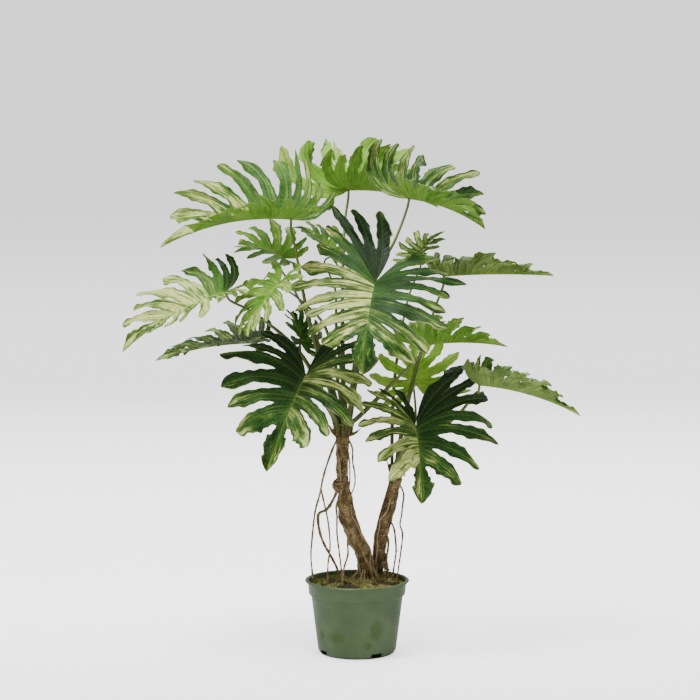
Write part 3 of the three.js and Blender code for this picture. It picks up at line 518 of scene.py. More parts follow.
# %% Soil surface
SOIL_GAP, SOIL_RADIUS, SOIL_SECTORS, SOIL_RINGS = 0.35, 97, 240, 76
soil_wall = np.array([
    (0, POT_FLOOR + SOIL_GAP), (BASE - 2, POT_FLOOR + SOIL_GAP), (FOOT - WALL - 1.1, 10),
    (SHOULDER - WALL - 0.7, band_foot - 4), (BAND - 3.3 - WALL, band_foot + 2)])
turn = full_turn(SOIL_SECTORS)[None, :]
radius = np.append(np.linspace(SOIL_RADIUS, 2, SOIL_RINGS), 0)[:, None]
x, y = radius * np.cos(turn), radius * np.sin(turn)
fade = np.clip((SOIL_RADIUS - radius) / 4, 0, 1)
top = grid_of(x, y, soil_height(x, y) + fade * soil_relief(x, y)).reshape(-1, 3)
ground = weld(np.vstack([turned(soil_wall, SOIL_SECTORS), top]),
              grid_triangles(len(soil_wall) + len(radius), SOIL_SECTORS, closed=True))[:2]

# %% Crumbs and moss tufts
CRUMBS, TUFTS, TUFT_SINK, TUFT_LEAN = 900, 9000, 0.4, 1.6
rng = np.random.RandomState(12)
golden = (1 + 5**0.5) / 2
ball = np.array([(-1, golden, 0), (1, golden, 0), (-1, -golden, 0), (1, -golden, 0), (0, -1, golden),
                 (0, 1, golden), (0, -1, -golden), (0, 1, -golden), (golden, 0, -1), (golden, 0, 1),
                 (-golden, 0, -1), (-golden, 0, 1)]) / 1.9
ball_faces = np.array([(0, 11, 5), (0, 5, 1), (0, 1, 7), (0, 7, 10), (0, 10, 11), (1, 5, 9), (5, 11, 4),
                       (11, 10, 2), (10, 7, 6), (7, 1, 8), (3, 9, 4), (3, 4, 2), (3, 2, 6), (3, 6, 8),
                       (3, 8, 9), (4, 9, 5), (2, 4, 11), (6, 2, 10), (8, 6, 7), (9, 8, 1)])


def scatter(count, reach):
    """Seeded places on the soil: even over the area, with the surface's height."""
    far, turn = reach * np.sqrt(rng.uniform(0, 1, count)), rng.uniform(0, 2 * np.pi, count)
    x, y = far * np.cos(turn), far * np.sin(turn)
    return np.stack([x, y, soil_height(x, y) + soil_relief(x, y)], axis=1)


def repeated(shape, faces, places, sizes):
    """Copies of a small shape, each scaled by its three sizes and put at its place, as one shape."""
    points = shape[None] * sizes[:, None] + places[:, None]
    starts = np.arange(len(places))[:, None, None] * len(shape)
    return points.reshape(-1, 3), (faces[None] + starts).reshape(-1, 3)


crumb_places = scatter(CRUMBS, 92)
crumb_sizes = rng.uniform(0.6, 1.3, (CRUMBS, 3)) * rng.uniform(0.5, 2.2, (CRUMBS, 1))
crumbs = repeated(ball, ball_faces, crumb_places, crumb_sizes)
tuft = np.array([(-0.5, -0.3, 0), (0.5, -0.3, 0), (0, 0.5, 0), (0, 0, 1)], float)
tuft_faces = np.array([(0, 2, 1), (0, 1, 3), (1, 2, 3), (2, 0, 3)])
tuft_places = scatter(TUFTS, 95)
mossy = rng.uniform(0, 1, TUFTS) < moss_share(tuft_places[:, 0], tuft_places[:, 1])
tuft_places, tuft_count = tuft_places[mossy], np.count_nonzero(mossy)
tuft_sizes = np.stack([rng.uniform(low, high, tuft_count) for low, high in
                       ((0.7, 1.6), (0.7, 1.6), (1.6, 4.6))], axis=1)
tufts, tuft_triangles = repeated(tuft, tuft_faces, tuft_places - [0, 0, TUFT_SINK], tuft_sizes)
tufts[3::4, :2] += rng.uniform(-TUFT_LEAN, TUFT_LEAN, (tuft_count, 2))
points, triangles = join_shapes([ground, crumbs, (tufts, tuft_triangles)])

# The moss share of each point: none on the hidden sides, half as much on crumbs, all on tufts.
first_crumb, first_tuft = np.cumsum([len(ground[0]), len(crumbs[0])])
cover = moss_share(points[:, 0], points[:, 1])
cover[points[:, 2] < SOIL_LEVEL - 12] = 0
cover[first_crumb:first_tuft] *= 0.5
cover[first_tuft:] = 1
make_piece("soil_top", points, triangles, soil_skin, "soil",
           [("cover", "POINT", np.repeat(cover, 3))], sharp=50)

# %% [markdown]
# ## The trunks
#
# A tree philodendron drops its old leaves and keeps their scars, so its trunk is a column of uneven
# rings wrapped in fibre. The radius is a function of height and angle: the plain solid's own radius,
# then grooves for the scars, long low ribs of fibre, and a fine grain. The finish is darker wherever
# that relief is low, a painted shade in the grooves, and paler where it is high, a painted highlight.

# %% Bark
RING_SPACING = 4.2


def reading(values, way):
    """Straight-line reading of values spread evenly along the way from 0 to 1."""
    return np.interp(way, np.linspace(0, 1, len(values)), values)


def bark_relief(way, angle, length, seed):
    """Fine relief in millimetres: shallow rings a few millimetres apart, threads of fibre, lumps and
    grain. Every part repeats after one full turn, so the bark has no seam."""
    turn, height = angle / (2 * np.pi), way * length

    def layer(around, size, start, extra):
        return relief(turn * around, height / size + start, seed + extra, around)

    shake = 0.9 * layer(8, 30, 9, 0) + 0.25 * layer(24, 9, 9, 0)
    rings = 0.6 * np.cos(2 * np.pi * (height / RING_SPACING + shake))
    threads = 0.55 * layer(30, 11, 5, 1) + 0.45 * layer(60, 4, 5, 2)
    return rings + threads + 1.1 * layer(8, 15, 5, 3) + 0.35 * layer(60, 1.8, 5, 4)


bark_skin, shader, place = start_material("fibrous_bark", Roughness=0.88, Specular_IOR_Level=0.25)
fibre = use_group(UNEVEN, stretched(place, (0.8, 0.8, 1.2)), Patches=70.0, Grain=420.0)
height, papery, crown = parts_of(stored(shader, "relief"))
colour = blend(fibre["Patch"], rgb(110, 88, 54), rgb(172, 148, 102))
colour = blend(span(fibre["Fine"], 0.45, 0.75) * 0.75, colour, rgb(62, 48, 27))
# Painted shade: darker where the relief is low, in the grooves of the bark and the hollows of the knot.
colour = blend(span(height, 0.1, -1.2) * 0.85, colour, rgb(46, 34, 19))
# Painted highlight: paler where the relief is high, on the raised bark and the knobs of the knot. The
# clinging and thin roots, whose relief is set high, take their own pale colour from it too.
colour = blend(span(height, 0.6, 1.7) * 0.7, colour, rgb(190, 170, 132))
colour = blend(papery, colour, rgb(96, 76, 44))
colour = blend(crown, colour, blend(fibre["Patch"], rgb(58, 64, 28), rgb(126, 134, 70)))
connect(colour, shader.inputs["Base Color"])
bump(shader, fibre["Fine"], 0.5)
print(bark_skin.name, "nodes:", len(shader.id_data.nodes))

# %% Trunk tables
TALL_TRUNK = dict(
    path=[(21, 32, 112), (20, 30, 156), (17, 22, 179), (12, 14, 207), (-2, 6, 232), (-12, 2, 258),
          (-20, 0, 280), (-25, 0, 306), (-27, 0, 330), (-31, 3, 364), (-30, 4, 410), (-29, 5, 446),
          (-29, 5, 472)],
    radii=[16, 16, 16.5, 15.5, 15, 15.5, 16.5, 17, 16, 11.8, 11.4, 11.8, 12, 13, 21],
    rings=12, burl=((-36, 0, 345), 15, (1, 0.9, 1.05)))
SHORT_TRUNK = dict(
    path=[(40, 62, 118), (41, 60, 150), (44, 50, 176), (46, 42, 206), (50, 38, 232), (58, 35, 268),
          (66, 31, 300), (74, 28, 331), (80, 26, 360), (81, 25, 384)],
    radii=[10, 11, 11, 11.5, 12, 13, 13.5, 13, 12.5, 12, 12, 16],
    rings=9, burl=None)

# Hanging roots: radius, then the points from the bark down into the soil.
TALL_ROOTS = [
    (2.2, [(-38, -4, 446), (-48, -14, 426), (-60, -18, 394), (-68, -21, 368), (-76, -23, 330),
           (-85, -24, 296), (-91, -22, 245), (-94, -20, 205), (-91, -15, 163), (-88, -14, 130)]),
    (1.9, [(-74, -22, 343), (-67, -27, 313), (-59, -29, 275), (-55, -32, 224), (-59, -34, 190),
           (-60, -34, 162), (-59, -34, 132)]),
    (3.0, [(-38, 0, 342), (-49, -4, 316), (-62, -8, 297), (-78, -12, 288), (-76, -10, 250),
           (-66, -6, 222), (-52, 0, 196), (-41, 4, 172), (-37, 6, 150), (-36, 6, 128)]),
    (2.0, [(-34, -8, 324), (-42, -15, 308), (-41, -18, 282), (-41, -20, 250), (-37, -20, 215),
           (-33, -22, 182), (-31, -22, 160), (-31, -22, 132)]),
    (2.2, [(-14, -2, 262), (-19, -14, 240), (-19, -22, 205), (-26, -26, 182), (-29, -44, 160),
           (-30, -48, 132)]),
    (1.8, [(-22, 0, 448), (-10, -8, 423), (-9, -10, 394), (-5, -12, 372), (-5, -12, 348),
           (-14, -6, 324), (-20, -2, 314)]),
    (1.6, [(-26, -6, 440), (-18, -13, 415), (-15, -13, 381), (-16, -14, 345), (-22, -8, 326)]),
    (2.2, [(-8, 0, 250), (6, -8, 222), (16, -4, 196), (26, 0, 172), (33, 2, 152), (36, 2, 130)]),
]
SHORT_ROOTS = [
    (1.9, [(82, 26, 352), (95, 17, 326), (93, 16, 300), (91, 16, 280), (88, 14, 262), (93, 12, 244),
           (90, 8, 210), (85, 4, 175), (82, 2, 152), (81, 2, 130)]),
    (2.0, [(62, 34, 278), (75, 24, 254), (79, 22, 228), (80, 19, 204), (76, 14, 176), (73, 10, 154),
           (72, 9, 130)]),
    (2.4, [(54, 36, 250), (64, 26, 226), (62, 22, 200), (58, 16, 176), (56, 12, 154), (56, 10, 130)]),
    (3.2, [(46, 46, 220), (58, 46, 192), (62, 44, 168), (64, 44, 150), (64, 44, 126)]),
]

# Papery sheaths round the young stalks: foot, tip and width.
TALL_SHEATHS = [((-40, -6, 446), (-60, -12, 474), 4), ((-36, -10, 444), (-46, -22, 480), 4),
                ((-20, -8, 446), (-12, -16, 486), 3.5), ((-18, -2, 448), (8, -12, 464), 3.5),
                ((-30, 18, 446), (-34, 30, 482), 4), ((-28, -10, 446), (-27, -20, 476), 4)]
SHORT_SHEATHS = [((70, 20, 362), (60, 10, 400), 4), ((84, 14, 364), (92, 4, 398), 3.5),
                 ((92, 24, 364), (108, 22, 394), 4), ((80, 38, 364), (84, 50, 396), 4),
                 ((76, 14, 362), (74, 4, 388), 3.5)]


# %% Shapes of a trunk
TRUNK_STEP, TRUNK_SIDES = 1.1, 112
BURL_ROWS, BURL_SECTORS, BURL_RELIEF = 40, 64, 14


def trunk_column(trunk, seed):
    """The column: the plain radius with its ring scars and low ribs, plus the fine relief."""
    length = np.linalg.norm(np.diff(trunk["path"], axis=0), axis=1).sum()

    def radius_at(way, angle):
        scar = 1 + 0.05 * np.cos(2 * np.pi * trunk["rings"] * way)
        ribs = 1 + 0.06 * np.sin(3 * angle + 9 * way) + 0.04 * np.sin(5 * angle - 14 * way)
        return reading(trunk["radii"], way) * scar * ribs + bark_relief(way, angle, length, seed)

    steps = int(length / TRUNK_STEP)
    points, triangles = tube(trunk["path"], radius_at, steps, TRUNK_SIDES)
    height = bark_relief(np.linspace(0, 1, steps + 1)[:, None], full_turn(TRUNK_SIDES)[None], length, seed)
    return points, triangles, np.append(height.ravel(), [0, 0])


def burl_shape(centre, radius, stretch):
    """A swollen knot: a ball of latitudes and longitudes with seeded relief."""
    rise = np.linspace(-np.pi / 2, np.pi / 2, BURL_ROWS)[:, None]
    turn = full_turn(BURL_SECTORS)[None, :]
    share = turn / (2 * np.pi)
    knobs = (0.07 * relief(share * 10, rise * 6 + 20, 31, 10)
             + 0.04 * relief(share * 30, rise * 14 + 40, 32, 30))
    flat, size = np.cos(rise) * (1 + knobs), np.array(stretch) * radius
    ball = grid_of(flat * np.cos(turn), flat * np.sin(turn), np.sin(rise) * (1 + knobs))
    points, triangles, _, first = weld(ball.reshape(-1, 3) * size + centre,
                                       grid_triangles(BURL_ROWS, BURL_SECTORS, closed=True))
    return points, triangles, (knobs.ravel() * BURL_RELIEF)[first]


# %% Shapes of roots and sheaths
LINE_POINTS, ROOT_SIDES, ROOT_STEPS, SHEATH_SIDES, SHEATH_STEPS = 200, 9, 14, 40, 24

# No foot root reaches further from the pot's axis than this, so that all stay inside the wall.
ROOT_LIMIT = 90


def root_shape(radius, knots, seed, raised=0.0):
    """A hanging root: a thin tube that tapers a little and swells where it once branched. A raised
    one counts as standing out from the bark, so its finish is pale."""
    def radius_at(way, angle):
        swell = 0.16 * relief(way * len(knots) * 4 + seed, angle * 0 + seed, 41)
        return radius * (1.12 - 0.3 * way + swell + 0.06 * np.sin(2 * angle + 40 * way))

    points, triangles = tube(knots, radius_at, ROOT_STEPS * len(knots), ROOT_SIDES)
    return points, triangles, np.full(len(points), 0.25 + 0.5 * (seed % 3 - 1) + raised)


def clinging_root(trunk, turn, start, end, radius, seed):
    """A root pressed to the bark: it follows the trunk's line at the trunk's radius, and its place
    round the trunk wanders with seeded relief."""
    line = smooth_path(trunk["path"], LINE_POINTS)
    first, second = side_directions(line)
    way = np.linspace(start, end, 16)
    index = (way * (LINE_POINTS - 1)).astype(int)
    angle = turn + 0.5 * relief(way * 14 + seed, way * 0 + seed, 43)
    reach = reading(trunk["radii"], way) * 1.02
    across = np.cos(angle)[:, None] * first[index] + np.sin(angle)[:, None] * second[index]
    return root_shape(radius, line[index] + reach[:, None] * across, seed, 0.9)


def foot_roots(trunk, level, count, seed):
    """Thin roots that fan out from the foot of a trunk over the soil: evenly spaced turns with seeded
    differences, each from the bark at its level to the ground a little way out."""
    rng = np.random.RandomState(seed)
    line = smooth_path(trunk["path"], LINE_POINTS)
    start = line[np.argmin(np.abs(line[:, 2] - level))]
    turns = full_turn(count) + rng.uniform(-0.3, 0.3, count)

    def knot(turn, reach, drop):
        place = start + (reach * math.cos(turn), reach * math.sin(turn), drop)
        place[:2] *= min(1, ROOT_LIMIT / np.linalg.norm(place[:2]))
        return place

    return [(rng.uniform(0.8, 1.4), [knot(turn, *step) for step in
                                     ((13, 6), (19, -6), (rng.uniform(22, 30), -17), (32, -34))])
            for turn in turns]


def sheath_shape(foot, tip, width, seed):
    """A pointed scale: a flattened tube whose width falls with the square of the way along, with
    ribs of fibre lengthwise."""
    foot, tip = np.array(foot, float), np.array(tip, float)
    middle = (foot + tip) / 2 - (0, 0, 3)

    def radius_at(way, angle):
        ribs = 1 + 0.1 * np.sin(9 * angle + seed) + 0.12 * relief(angle * 5 + seed, way * 9, 51)
        return width * (1 - 0.93 * way**2) * (0.7 + 0.3 * np.cos(2 * angle)) * ribs

    points, triangles = tube([foot, middle, tip], radius_at, SHEATH_STEPS, SHEATH_SIDES)
    return points, triangles, np.full(len(points), 0.2)


# %% Trunk pieces
THIN_ROOT = 1.5


def make_trunk(name, node, trunk, roots, sheaths, clinging, seed):
    """One piece of a trunk: column, knot, hanging roots, clinging roots and sheaths."""
    shapes = [trunk_column(trunk, seed)]
    if trunk["burl"]:
        shapes.append(burl_shape(*trunk["burl"]))
    shapes += [root_shape(radius, knots, 3 * i + seed, 1.0 * (radius < THIN_ROOT))
               for i, (radius, knots) in enumerate(roots)]
    shapes += [clinging_root(trunk, *row, i + seed) for i, row in enumerate(clinging)]
    plain = len(shapes)
    shapes += [sheath_shape(*row, i) for i, row in enumerate(sheaths)]
    points, triangles = join_shapes([shape[:2] for shape in shapes])
    height = np.concatenate([shape[2] for shape in shapes])
    papery = np.repeat([0.7 * (i >= plain) for i in range(len(shapes))], [len(shape[0]) for shape in shapes])
    crown = np.clip((points[:, 2] - trunk["path"][-2][2] + 2) / 12, 0, 1) * (papery == 0)
    values = np.stack([height, papery, crown], axis=1)
    make_piece(name, points, triangles, bark_skin, node, [("relief", "POINT", values)], sharp=70)


TALL_CLINGING = [(0.4, 0.06, 0.5, 1.9), (1.3, 0.08, 0.42, 1.6), (2.4, 0.05, 0.55, 1.8), (3.5, 0.1, 0.6, 1.5),
                 (4.4, 0.06, 0.4, 2.0), (5.3, 0.07, 0.62, 1.5), (0.9, 0.5, 0.86, 1.2), (3.0, 0.52, 0.9, 1.2)]
SHORT_CLINGING = [(0.3, 0.08, 0.7, 1.7), (1.5, 0.1, 0.85, 1.5), (2.6, 0.06, 0.75, 1.6), (3.9, 0.12, 0.9, 1.4),
                  (5.0, 0.08, 0.6, 1.7), (5.8, 0.3, 0.92, 1.2)]
make_trunk("tall_trunk", "trunk_tall", TALL_TRUNK, TALL_ROOTS + foot_roots(TALL_TRUNK, 170, 13, 3),
           TALL_SHEATHS, TALL_CLINGING, 5)
make_trunk("short_trunk", "trunk_short", SHORT_TRUNK, SHORT_ROOTS + foot_roots(SHORT_TRUNK, 172, 9, 4),
           SHORT_SHEATHS, SHORT_CLINGING, 9)

# %% [markdown]
# ## The leaves
#
# Each blade is a midrib with lobes on both sides, cut deep between them. On a flat sheet every lobe
# is a vein that leaves the midrib at its own angle, and two edges that never cross the line halfway to
# the next vein. The flat sheet is then bent: the midrib arches, each half rises by its fold and curls
# down again. The same few numbers give the plain solid, so the fine blade lies where the solid lies.
#
# The table gives each leaf its two ends, its bends and its spread, and the way of its stalk.

# %% Table of leaves
TALL, SHORT = "tall", "short"
USUAL = dict(crown=TALL, fan=(1, 1), rear=(1, 1), extra=(0, 0), front=(1, 1), spread=(1, 1), web=(1, 1),
             slim=1, until=1, roll=0, small=False, straight=False)
LEAVES = {
    "top_left": dict(at=(-134, 10, 887), tip=(-395, -30, 831), bend=34, back=32, fan=(1, 1.3),
        fold=(26, 66), curl=(15, 20), span=(140, 155), seed=20, extra=(0, 1), lobes=9, slim=0.9, ring=6.5,
        turn=190, via=[(-96, 8, 674), (-124, 5, 822)]),
    "top_back": dict(at=(-17, 165, 943), tip=(172, 215, 905), bend=26, back=45, fan=(1.6, 1.3),
        fold=(62, 58), curl=(15, 15), span=(130, 110), rear=(1.55, 1.4), seed=31, extra=(1, 0), turn=80,
        via=[(-30, 70, 680), (-25, 145, 877)]),
    "top_right": dict(at=(106, 30, 928), tip=(258, 0, 867), bend=30, back=40, fan=(1.3, 1), fold=(54, 34),
        curl=(15, 20), span=(120, 118), rear=(1.7, 0.9), seed=5, extra=(1, 0), turn=35,
        via=[(37, 25, 763), (79, 28, 848)]),
    "left": dict(at=(-263, -60, 745), tip=(-462, -135, 630), bend=26, back=55, fan=(1, 1.2), fold=(0, 45),
        curl=(5, 20), span=(100, 130), rear=(0.8, 1), seed=27, lobes=8, slim=0.95, turn=195,
        via=[(-116, 8, 615), (-213, -34, 703)]),
    "left_hanging": dict(at=(-154, -95, 765), tip=(-215, -135, 660), bend=30, back=40, fold=(15, 15),
        curl=(30, 30), span=(85, 98), seed=5, slim=1.05, small=True, turn=270,
        via=[(-64, 14, 665), (-112, -36, 724)]),
    "left_back": dict(at=(-152, 72, 806), tip=(-245, 84, 832), bend=30, back=50, fan=(1.1, 1.1),
        fold=(0, 50), curl=(20, 20), span=(95, 95), seed=6, ring=6.5, small=True, turn=110,
        via=[(-90, 40, 661), (-128, 62, 738)]),
    "centre_back": dict(at=(-55, 140, 805), tip=(-117, 165, 856), bend=50, back=40, fold=(30, 30),
        curl=(30, 30), span=(88, 88), seed=7, ring=6.5, small=True, turn=20,
        via=[(-42, 48, 660), (-46, 118, 741)]),
    "centre": dict(at=(35, -75, 764), tip=(11, -160, 588), bend=36, back=20, fan=(0.72, 1), fold=(8, 8),
        curl=(25, 20), span=(175, 154), rear=(1, 1.55), seed=8, extra=(0, 3), spread=(1, 0.6),
        front=(0.95, 0.9), web=(1, 1.25), lobes=8, until=0.93, straight=True, turn=315,
        via=[(2, -22, 643), (26, -52, 726)]),
    "right_upper": dict(at=(178, 65, 769), tip=(402, 45, 770), bend=8, back=40, fold=(32, 34),
        curl=(15, 15), span=(102, 100), rear=(0.8, 0.8), seed=35, slim=1.3, crown=SHORT, turn=80,
        via=[(116, 60, 558), (160, 68, 702)]),
    "right_back": dict(at=(125, 115, 808), tip=(165, 150, 848), bend=30, back=30, fold=(30, 30),
        curl=(30, 30), span=(62, 62), seed=10, small=True, crown=SHORT, turn=130,
        via=[(78, 90, 556), (106, 110, 719)]),
    "right_middle": dict(at=(127, -10, 631), tip=(303, -30, 631), bend=22, back=20, fold=(40, 50),
        curl=(15, 15), span=(85, 85), rear=(1.4, 1.4), seed=11, slim=1.1, turn=355,
        via=[(-10, 3, 475), (96, -5, 580)]),
    "right_low": dict(at=(249, 0, 551), tip=(452, -20, 490), bend=24, back=70, fold=(52, 46), curl=(20, 20),
        span=(75, 85), rear=(1.15, 1.3), seed=36, slim=1.25, crown=SHORT, turn=335,
        via=[(210, 30, 490), (243, 16, 534)]),
    "low_right": dict(at=(118, -50, 471), tip=(128, -115, 325), bend=36, back=32, fan=(0.8, 0.85),
        fold=(15, 15), curl=(40, 40), span=(145, 118), rear=(1.55, 1.15), seed=11, extra=(2, 3),
        front=(0.85, 0.7), web=(1.8, 1), lobes=5, until=0.8, slim=0.85, crown=SHORT, turn=270,
        via=[(95, 0, 418), (109, -35, 457)]),
    "low_back": dict(at=(122, 100, 540), tip=(116, 128, 622), bend=40, back=30, fan=(0.8, 0.8),
        fold=(30, 30), curl=(30, 30), span=(110, 110), seed=14, small=True, crown=SHORT, turn=20,
        via=[(105, 50, 433), (121, 86, 473)]),
    "low_left": dict(at=(-103, -45, 576), tip=(-180, -125, 391), bend=36, back=50, fan=(1, 0.8),
        fold=(12, 22), curl=(40, 22), span=(140, 165), rear=(1.1, 1), seed=18, extra=(2, 0),
        front=(0.7, 0.85), web=(1.2, 1.7), lobes=6, until=0.85, roll=-35, turn=232,
        via=[(-59, -24, 511), (-91, -35, 554)]),
    "left_low": dict(at=(-208, 78, 630), tip=(-414, 50, 595), bend=20, back=40, fold=(18, 35),
        curl=(20, 20), span=(86, 100), rear=(1, 1.1), seed=12, turn=160,
        via=[(-116, 50, 575), (-167, 64, 616)]),
    "centre_low": dict(at=(-116, 75, 630), tip=(-137, 90, 692), bend=40, back=20, fold=(30, 30),
        curl=(30, 30), span=(70, 70), seed=17, small=True, turn=125, via=[(-68, 45, 529), (-98, 66, 580)]),
}
LEAVES = {name: USUAL | row for name, row in LEAVES.items()}
print("leaves:", len(LEAVES))

# %% Rules of growth
CROWNS = {TALL: dict(centre=(-29, 5, 460), ring=16, foot=-11),
          SHORT: dict(centre=(80, 25, 374), ring=11, foot=-9)}
LOBES = [[0, 0.02, 0.06, 0.14, 0.25, 0.38, 0.52], [146, 127, 109, 93, 79, 66, 54],
         [0.82, 0.95, 1, 1, 0.94, 0.84, 0.68]]
LOBE_COUNT, REAR_PART = dict(large=7, small=6), 0.5
EXTRA_LOBES = [(0, 160, 0.9), (0, 173, 0.8), (0, 186, 0.72)]
TIP_BASE, END_WIDTH, SINUS, SWEEP = 0.6, 1.2, 0.27, math.radians(20)
DROOP, RIDGE, REAR_EDGE, BACK_LENGTH, RUFFLE = 0.02, 2.2, math.radians(15), 100, 0.2
VARIETY = dict(angle=7, length=0.24, droop=0.25, ruffle=0.25)
OUTLINE = dict(neck=0.8, fade=14, taper=0.22, wave=0.15, waves=11, ripple=0.055, ripples=27, end=5,
               blunt=0.6, full=0.97)
REAR_WEB, UNEVEN_CUT, ARCH = 0.2, 0.04, 0.28
BLADE = 0.9


def draws(seed):
    """The seeded draws of the plain solids: each number is the last one times 16807, kept under
    2147483647 and given as a share of it."""
    state = seed * 7919 + 17
    while True:
        state = state * 16807 % 2147483647
        yield state / 2147483647


def lobes_of(row, side, length, draw):
    """The lobes of one half from back to front, each with its own small differences."""
    extras = EXTRA_LOBES[:row["extra"][side]][::-1]
    count = row.get("lobes", LOBE_COUNT["small" if row["small"] else "large"])
    until = row["until"]
    usual = list(zip(*(reading(column, np.linspace(0, until, count)) for column in LOBES)))
    front, ahead_spread, web = (row[key][side] for key in ("front", "spread", "web"))
    lobes = []
    for index, (base, angle, share) in enumerate(extras + usual):
        way = until * (index - len(extras)) / (count - 1)
        behind = 1 - min(max(way / REAR_PART, 0), 1)
        ahead = max(way - REAR_PART, 0) / (1 - REAR_PART)
        reach = share * (1 + (row["rear"][side] - 1) * behind) * (1 + (front - 1) * ahead)
        spread = row["fan"][side] if angle > 90 else ahead_spread
        angle = 90 + (angle - 90) * spread + VARIETY["angle"] * (next(draw) - 0.5)
        lobes.append(dict(
            base=base * length, angle=math.radians(angle),
            length=row["span"][side] * reach * (1 + VARIETY["length"] * (next(draw) - 0.5)),
            droop=DROOP + VARIETY["droop"] * (next(draw) - 0.5), web=web, slim=row["slim"],
            sweep=SWEEP / 2 if row["straight"] else SWEEP,
            phase=2 * math.pi * next(draw), ruffle=RUFFLE + VARIETY["ruffle"] * next(draw)))
    return lobes


def leaf_shape(row):
    """A leaf's frame of directions, its arc, and its two halves."""
    draw = draws(row["seed"])
    at, tip = np.array(row["at"], float), np.array(row["tip"], float)
    half = math.radians(row["bend"]) / 2
    chord = np.linalg.norm(tip - at)
    length, forward = chord * half / math.sin(half), (tip - at) / chord
    up = np.array([0, 0, 1.0]) - forward[2] * forward
    up /= np.linalg.norm(up)
    roll = math.radians(row["roll"])
    up = up * math.cos(roll) + np.cross(forward, up) * math.sin(roll)
    halves = [dict(sign=sign, fold=math.radians(row["fold"][i]),
                   curl=math.radians(row["curl"][i]) / row["span"][i], lobes=lobes_of(row, i, length, draw))
              for i, sign in enumerate((1, -1))]
    return dict(seed=row["seed"], at=at, side=np.cross(up, forward),
                along=forward * math.cos(half) + up * math.sin(half),
                normal=up * math.cos(half) - forward * math.sin(half), length=length,
                bend=math.radians(row["bend"]), back=math.radians(row["back"]), halves=halves)


# %% Bend the flat blade into place
def place_on(leaf, half, x, y, lift):
    """Points of the bent blade. The way along the midrib turns by x over the length, and the way
    across rises at the fold less the curl times y; both are arcs, so the sheet keeps its size."""
    turn = np.where(x > 0, leaf["bend"] / leaf["length"], leaf["back"] / BACK_LENGTH)
    ahead, angle = np.sign(x), turn * np.abs(x)
    run, fall = ahead * np.sin(angle) / turn, ahead * (1 - np.cos(angle)) / turn
    rise = half["fold"] - half["curl"] * y
    across = (math.sin(half["fold"]) - np.sin(rise)) / half["curl"]
    height = (np.cos(rise) - math.cos(half["fold"])) / half["curl"] + lift * np.cos(rise)
    out = half["sign"] * (across - lift * np.sin(rise))
    axes = leaf["along"], leaf["normal"], leaf["side"]
    shares = run + height * np.sin(angle), height * np.cos(angle) - fall, out
    return leaf["at"] + sum(share[..., None] * axis for share, axis in zip(shares, axes))


def vein(lobe, t):
    """The lobe's middle vein on the flat sheet: a straight way from its base whose angle turns
    forward by the sweep."""
    angle = lobe["angle"] - lobe["sweep"] * t
    return lobe["base"] + lobe["length"] * t * np.cos(angle), lobe["length"] * t * np.sin(angle)


def fill(lobe, u, edge):
    """Share of its room that a free lobe fills: all of it at the cut, then a taper to a rounded end,
    with slow waves as in the plain solid and small quick ones that only the fine blade has."""
    neck = OUTLINE["neck"] + (1 - OUTLINE["neck"]) * np.exp(-OUTLINE["fade"] * u)
    taper = -OUTLINE["taper"] * u
    wave = OUTLINE["wave"] * u * np.sin(OUTLINE["waves"] * u + lobe["phase"] + edge)
    turns = OUTLINE["ripples"] * u + 3 * lobe["phase"] + 2 * edge
    quick = OUTLINE["ripple"] * np.minimum(4 * u, 1) * np.sin(turns)
    slim = 1 + (lobe["slim"] - 1) * np.minimum(4 * u, 1)
    end = (1 - u ** OUTLINE["end"]) ** OUTLINE["blunt"]
    return np.minimum(slim * (neck + taper + wave + quick) * end, OUTLINE["full"])


def cut_between(first, second):
    """How far out the cut between two lobes begins: further between back lobes, and never twice
    the same."""
    rear = min(max(((first["angle"] + second["angle"]) / 2 - np.pi / 2) / (np.pi / 3), 0), 1)
    return SINUS + REAR_WEB * first["web"] * rear + UNEVEN_CUT * math.sin(first["phase"] + second["phase"])


# %% One lobe as a grid
WEB_ROWS = np.linspace(-1, 0, 5)
FREE_ROWS = 1 - (1 - np.linspace(0, 1, 22)[1:]) ** 1.25
ACROSS = np.array([0, 0.05, 0.13, 0.27, 0.45, 0.63, 0.8, 0.92, 1.0])
CRIMP = 0.07
RIB_HEIGHT, RIB_WIDTH, KEEL_HEIGHT, KEEL_WIDTH = 0.7, 1.3, 1.5, 2.2


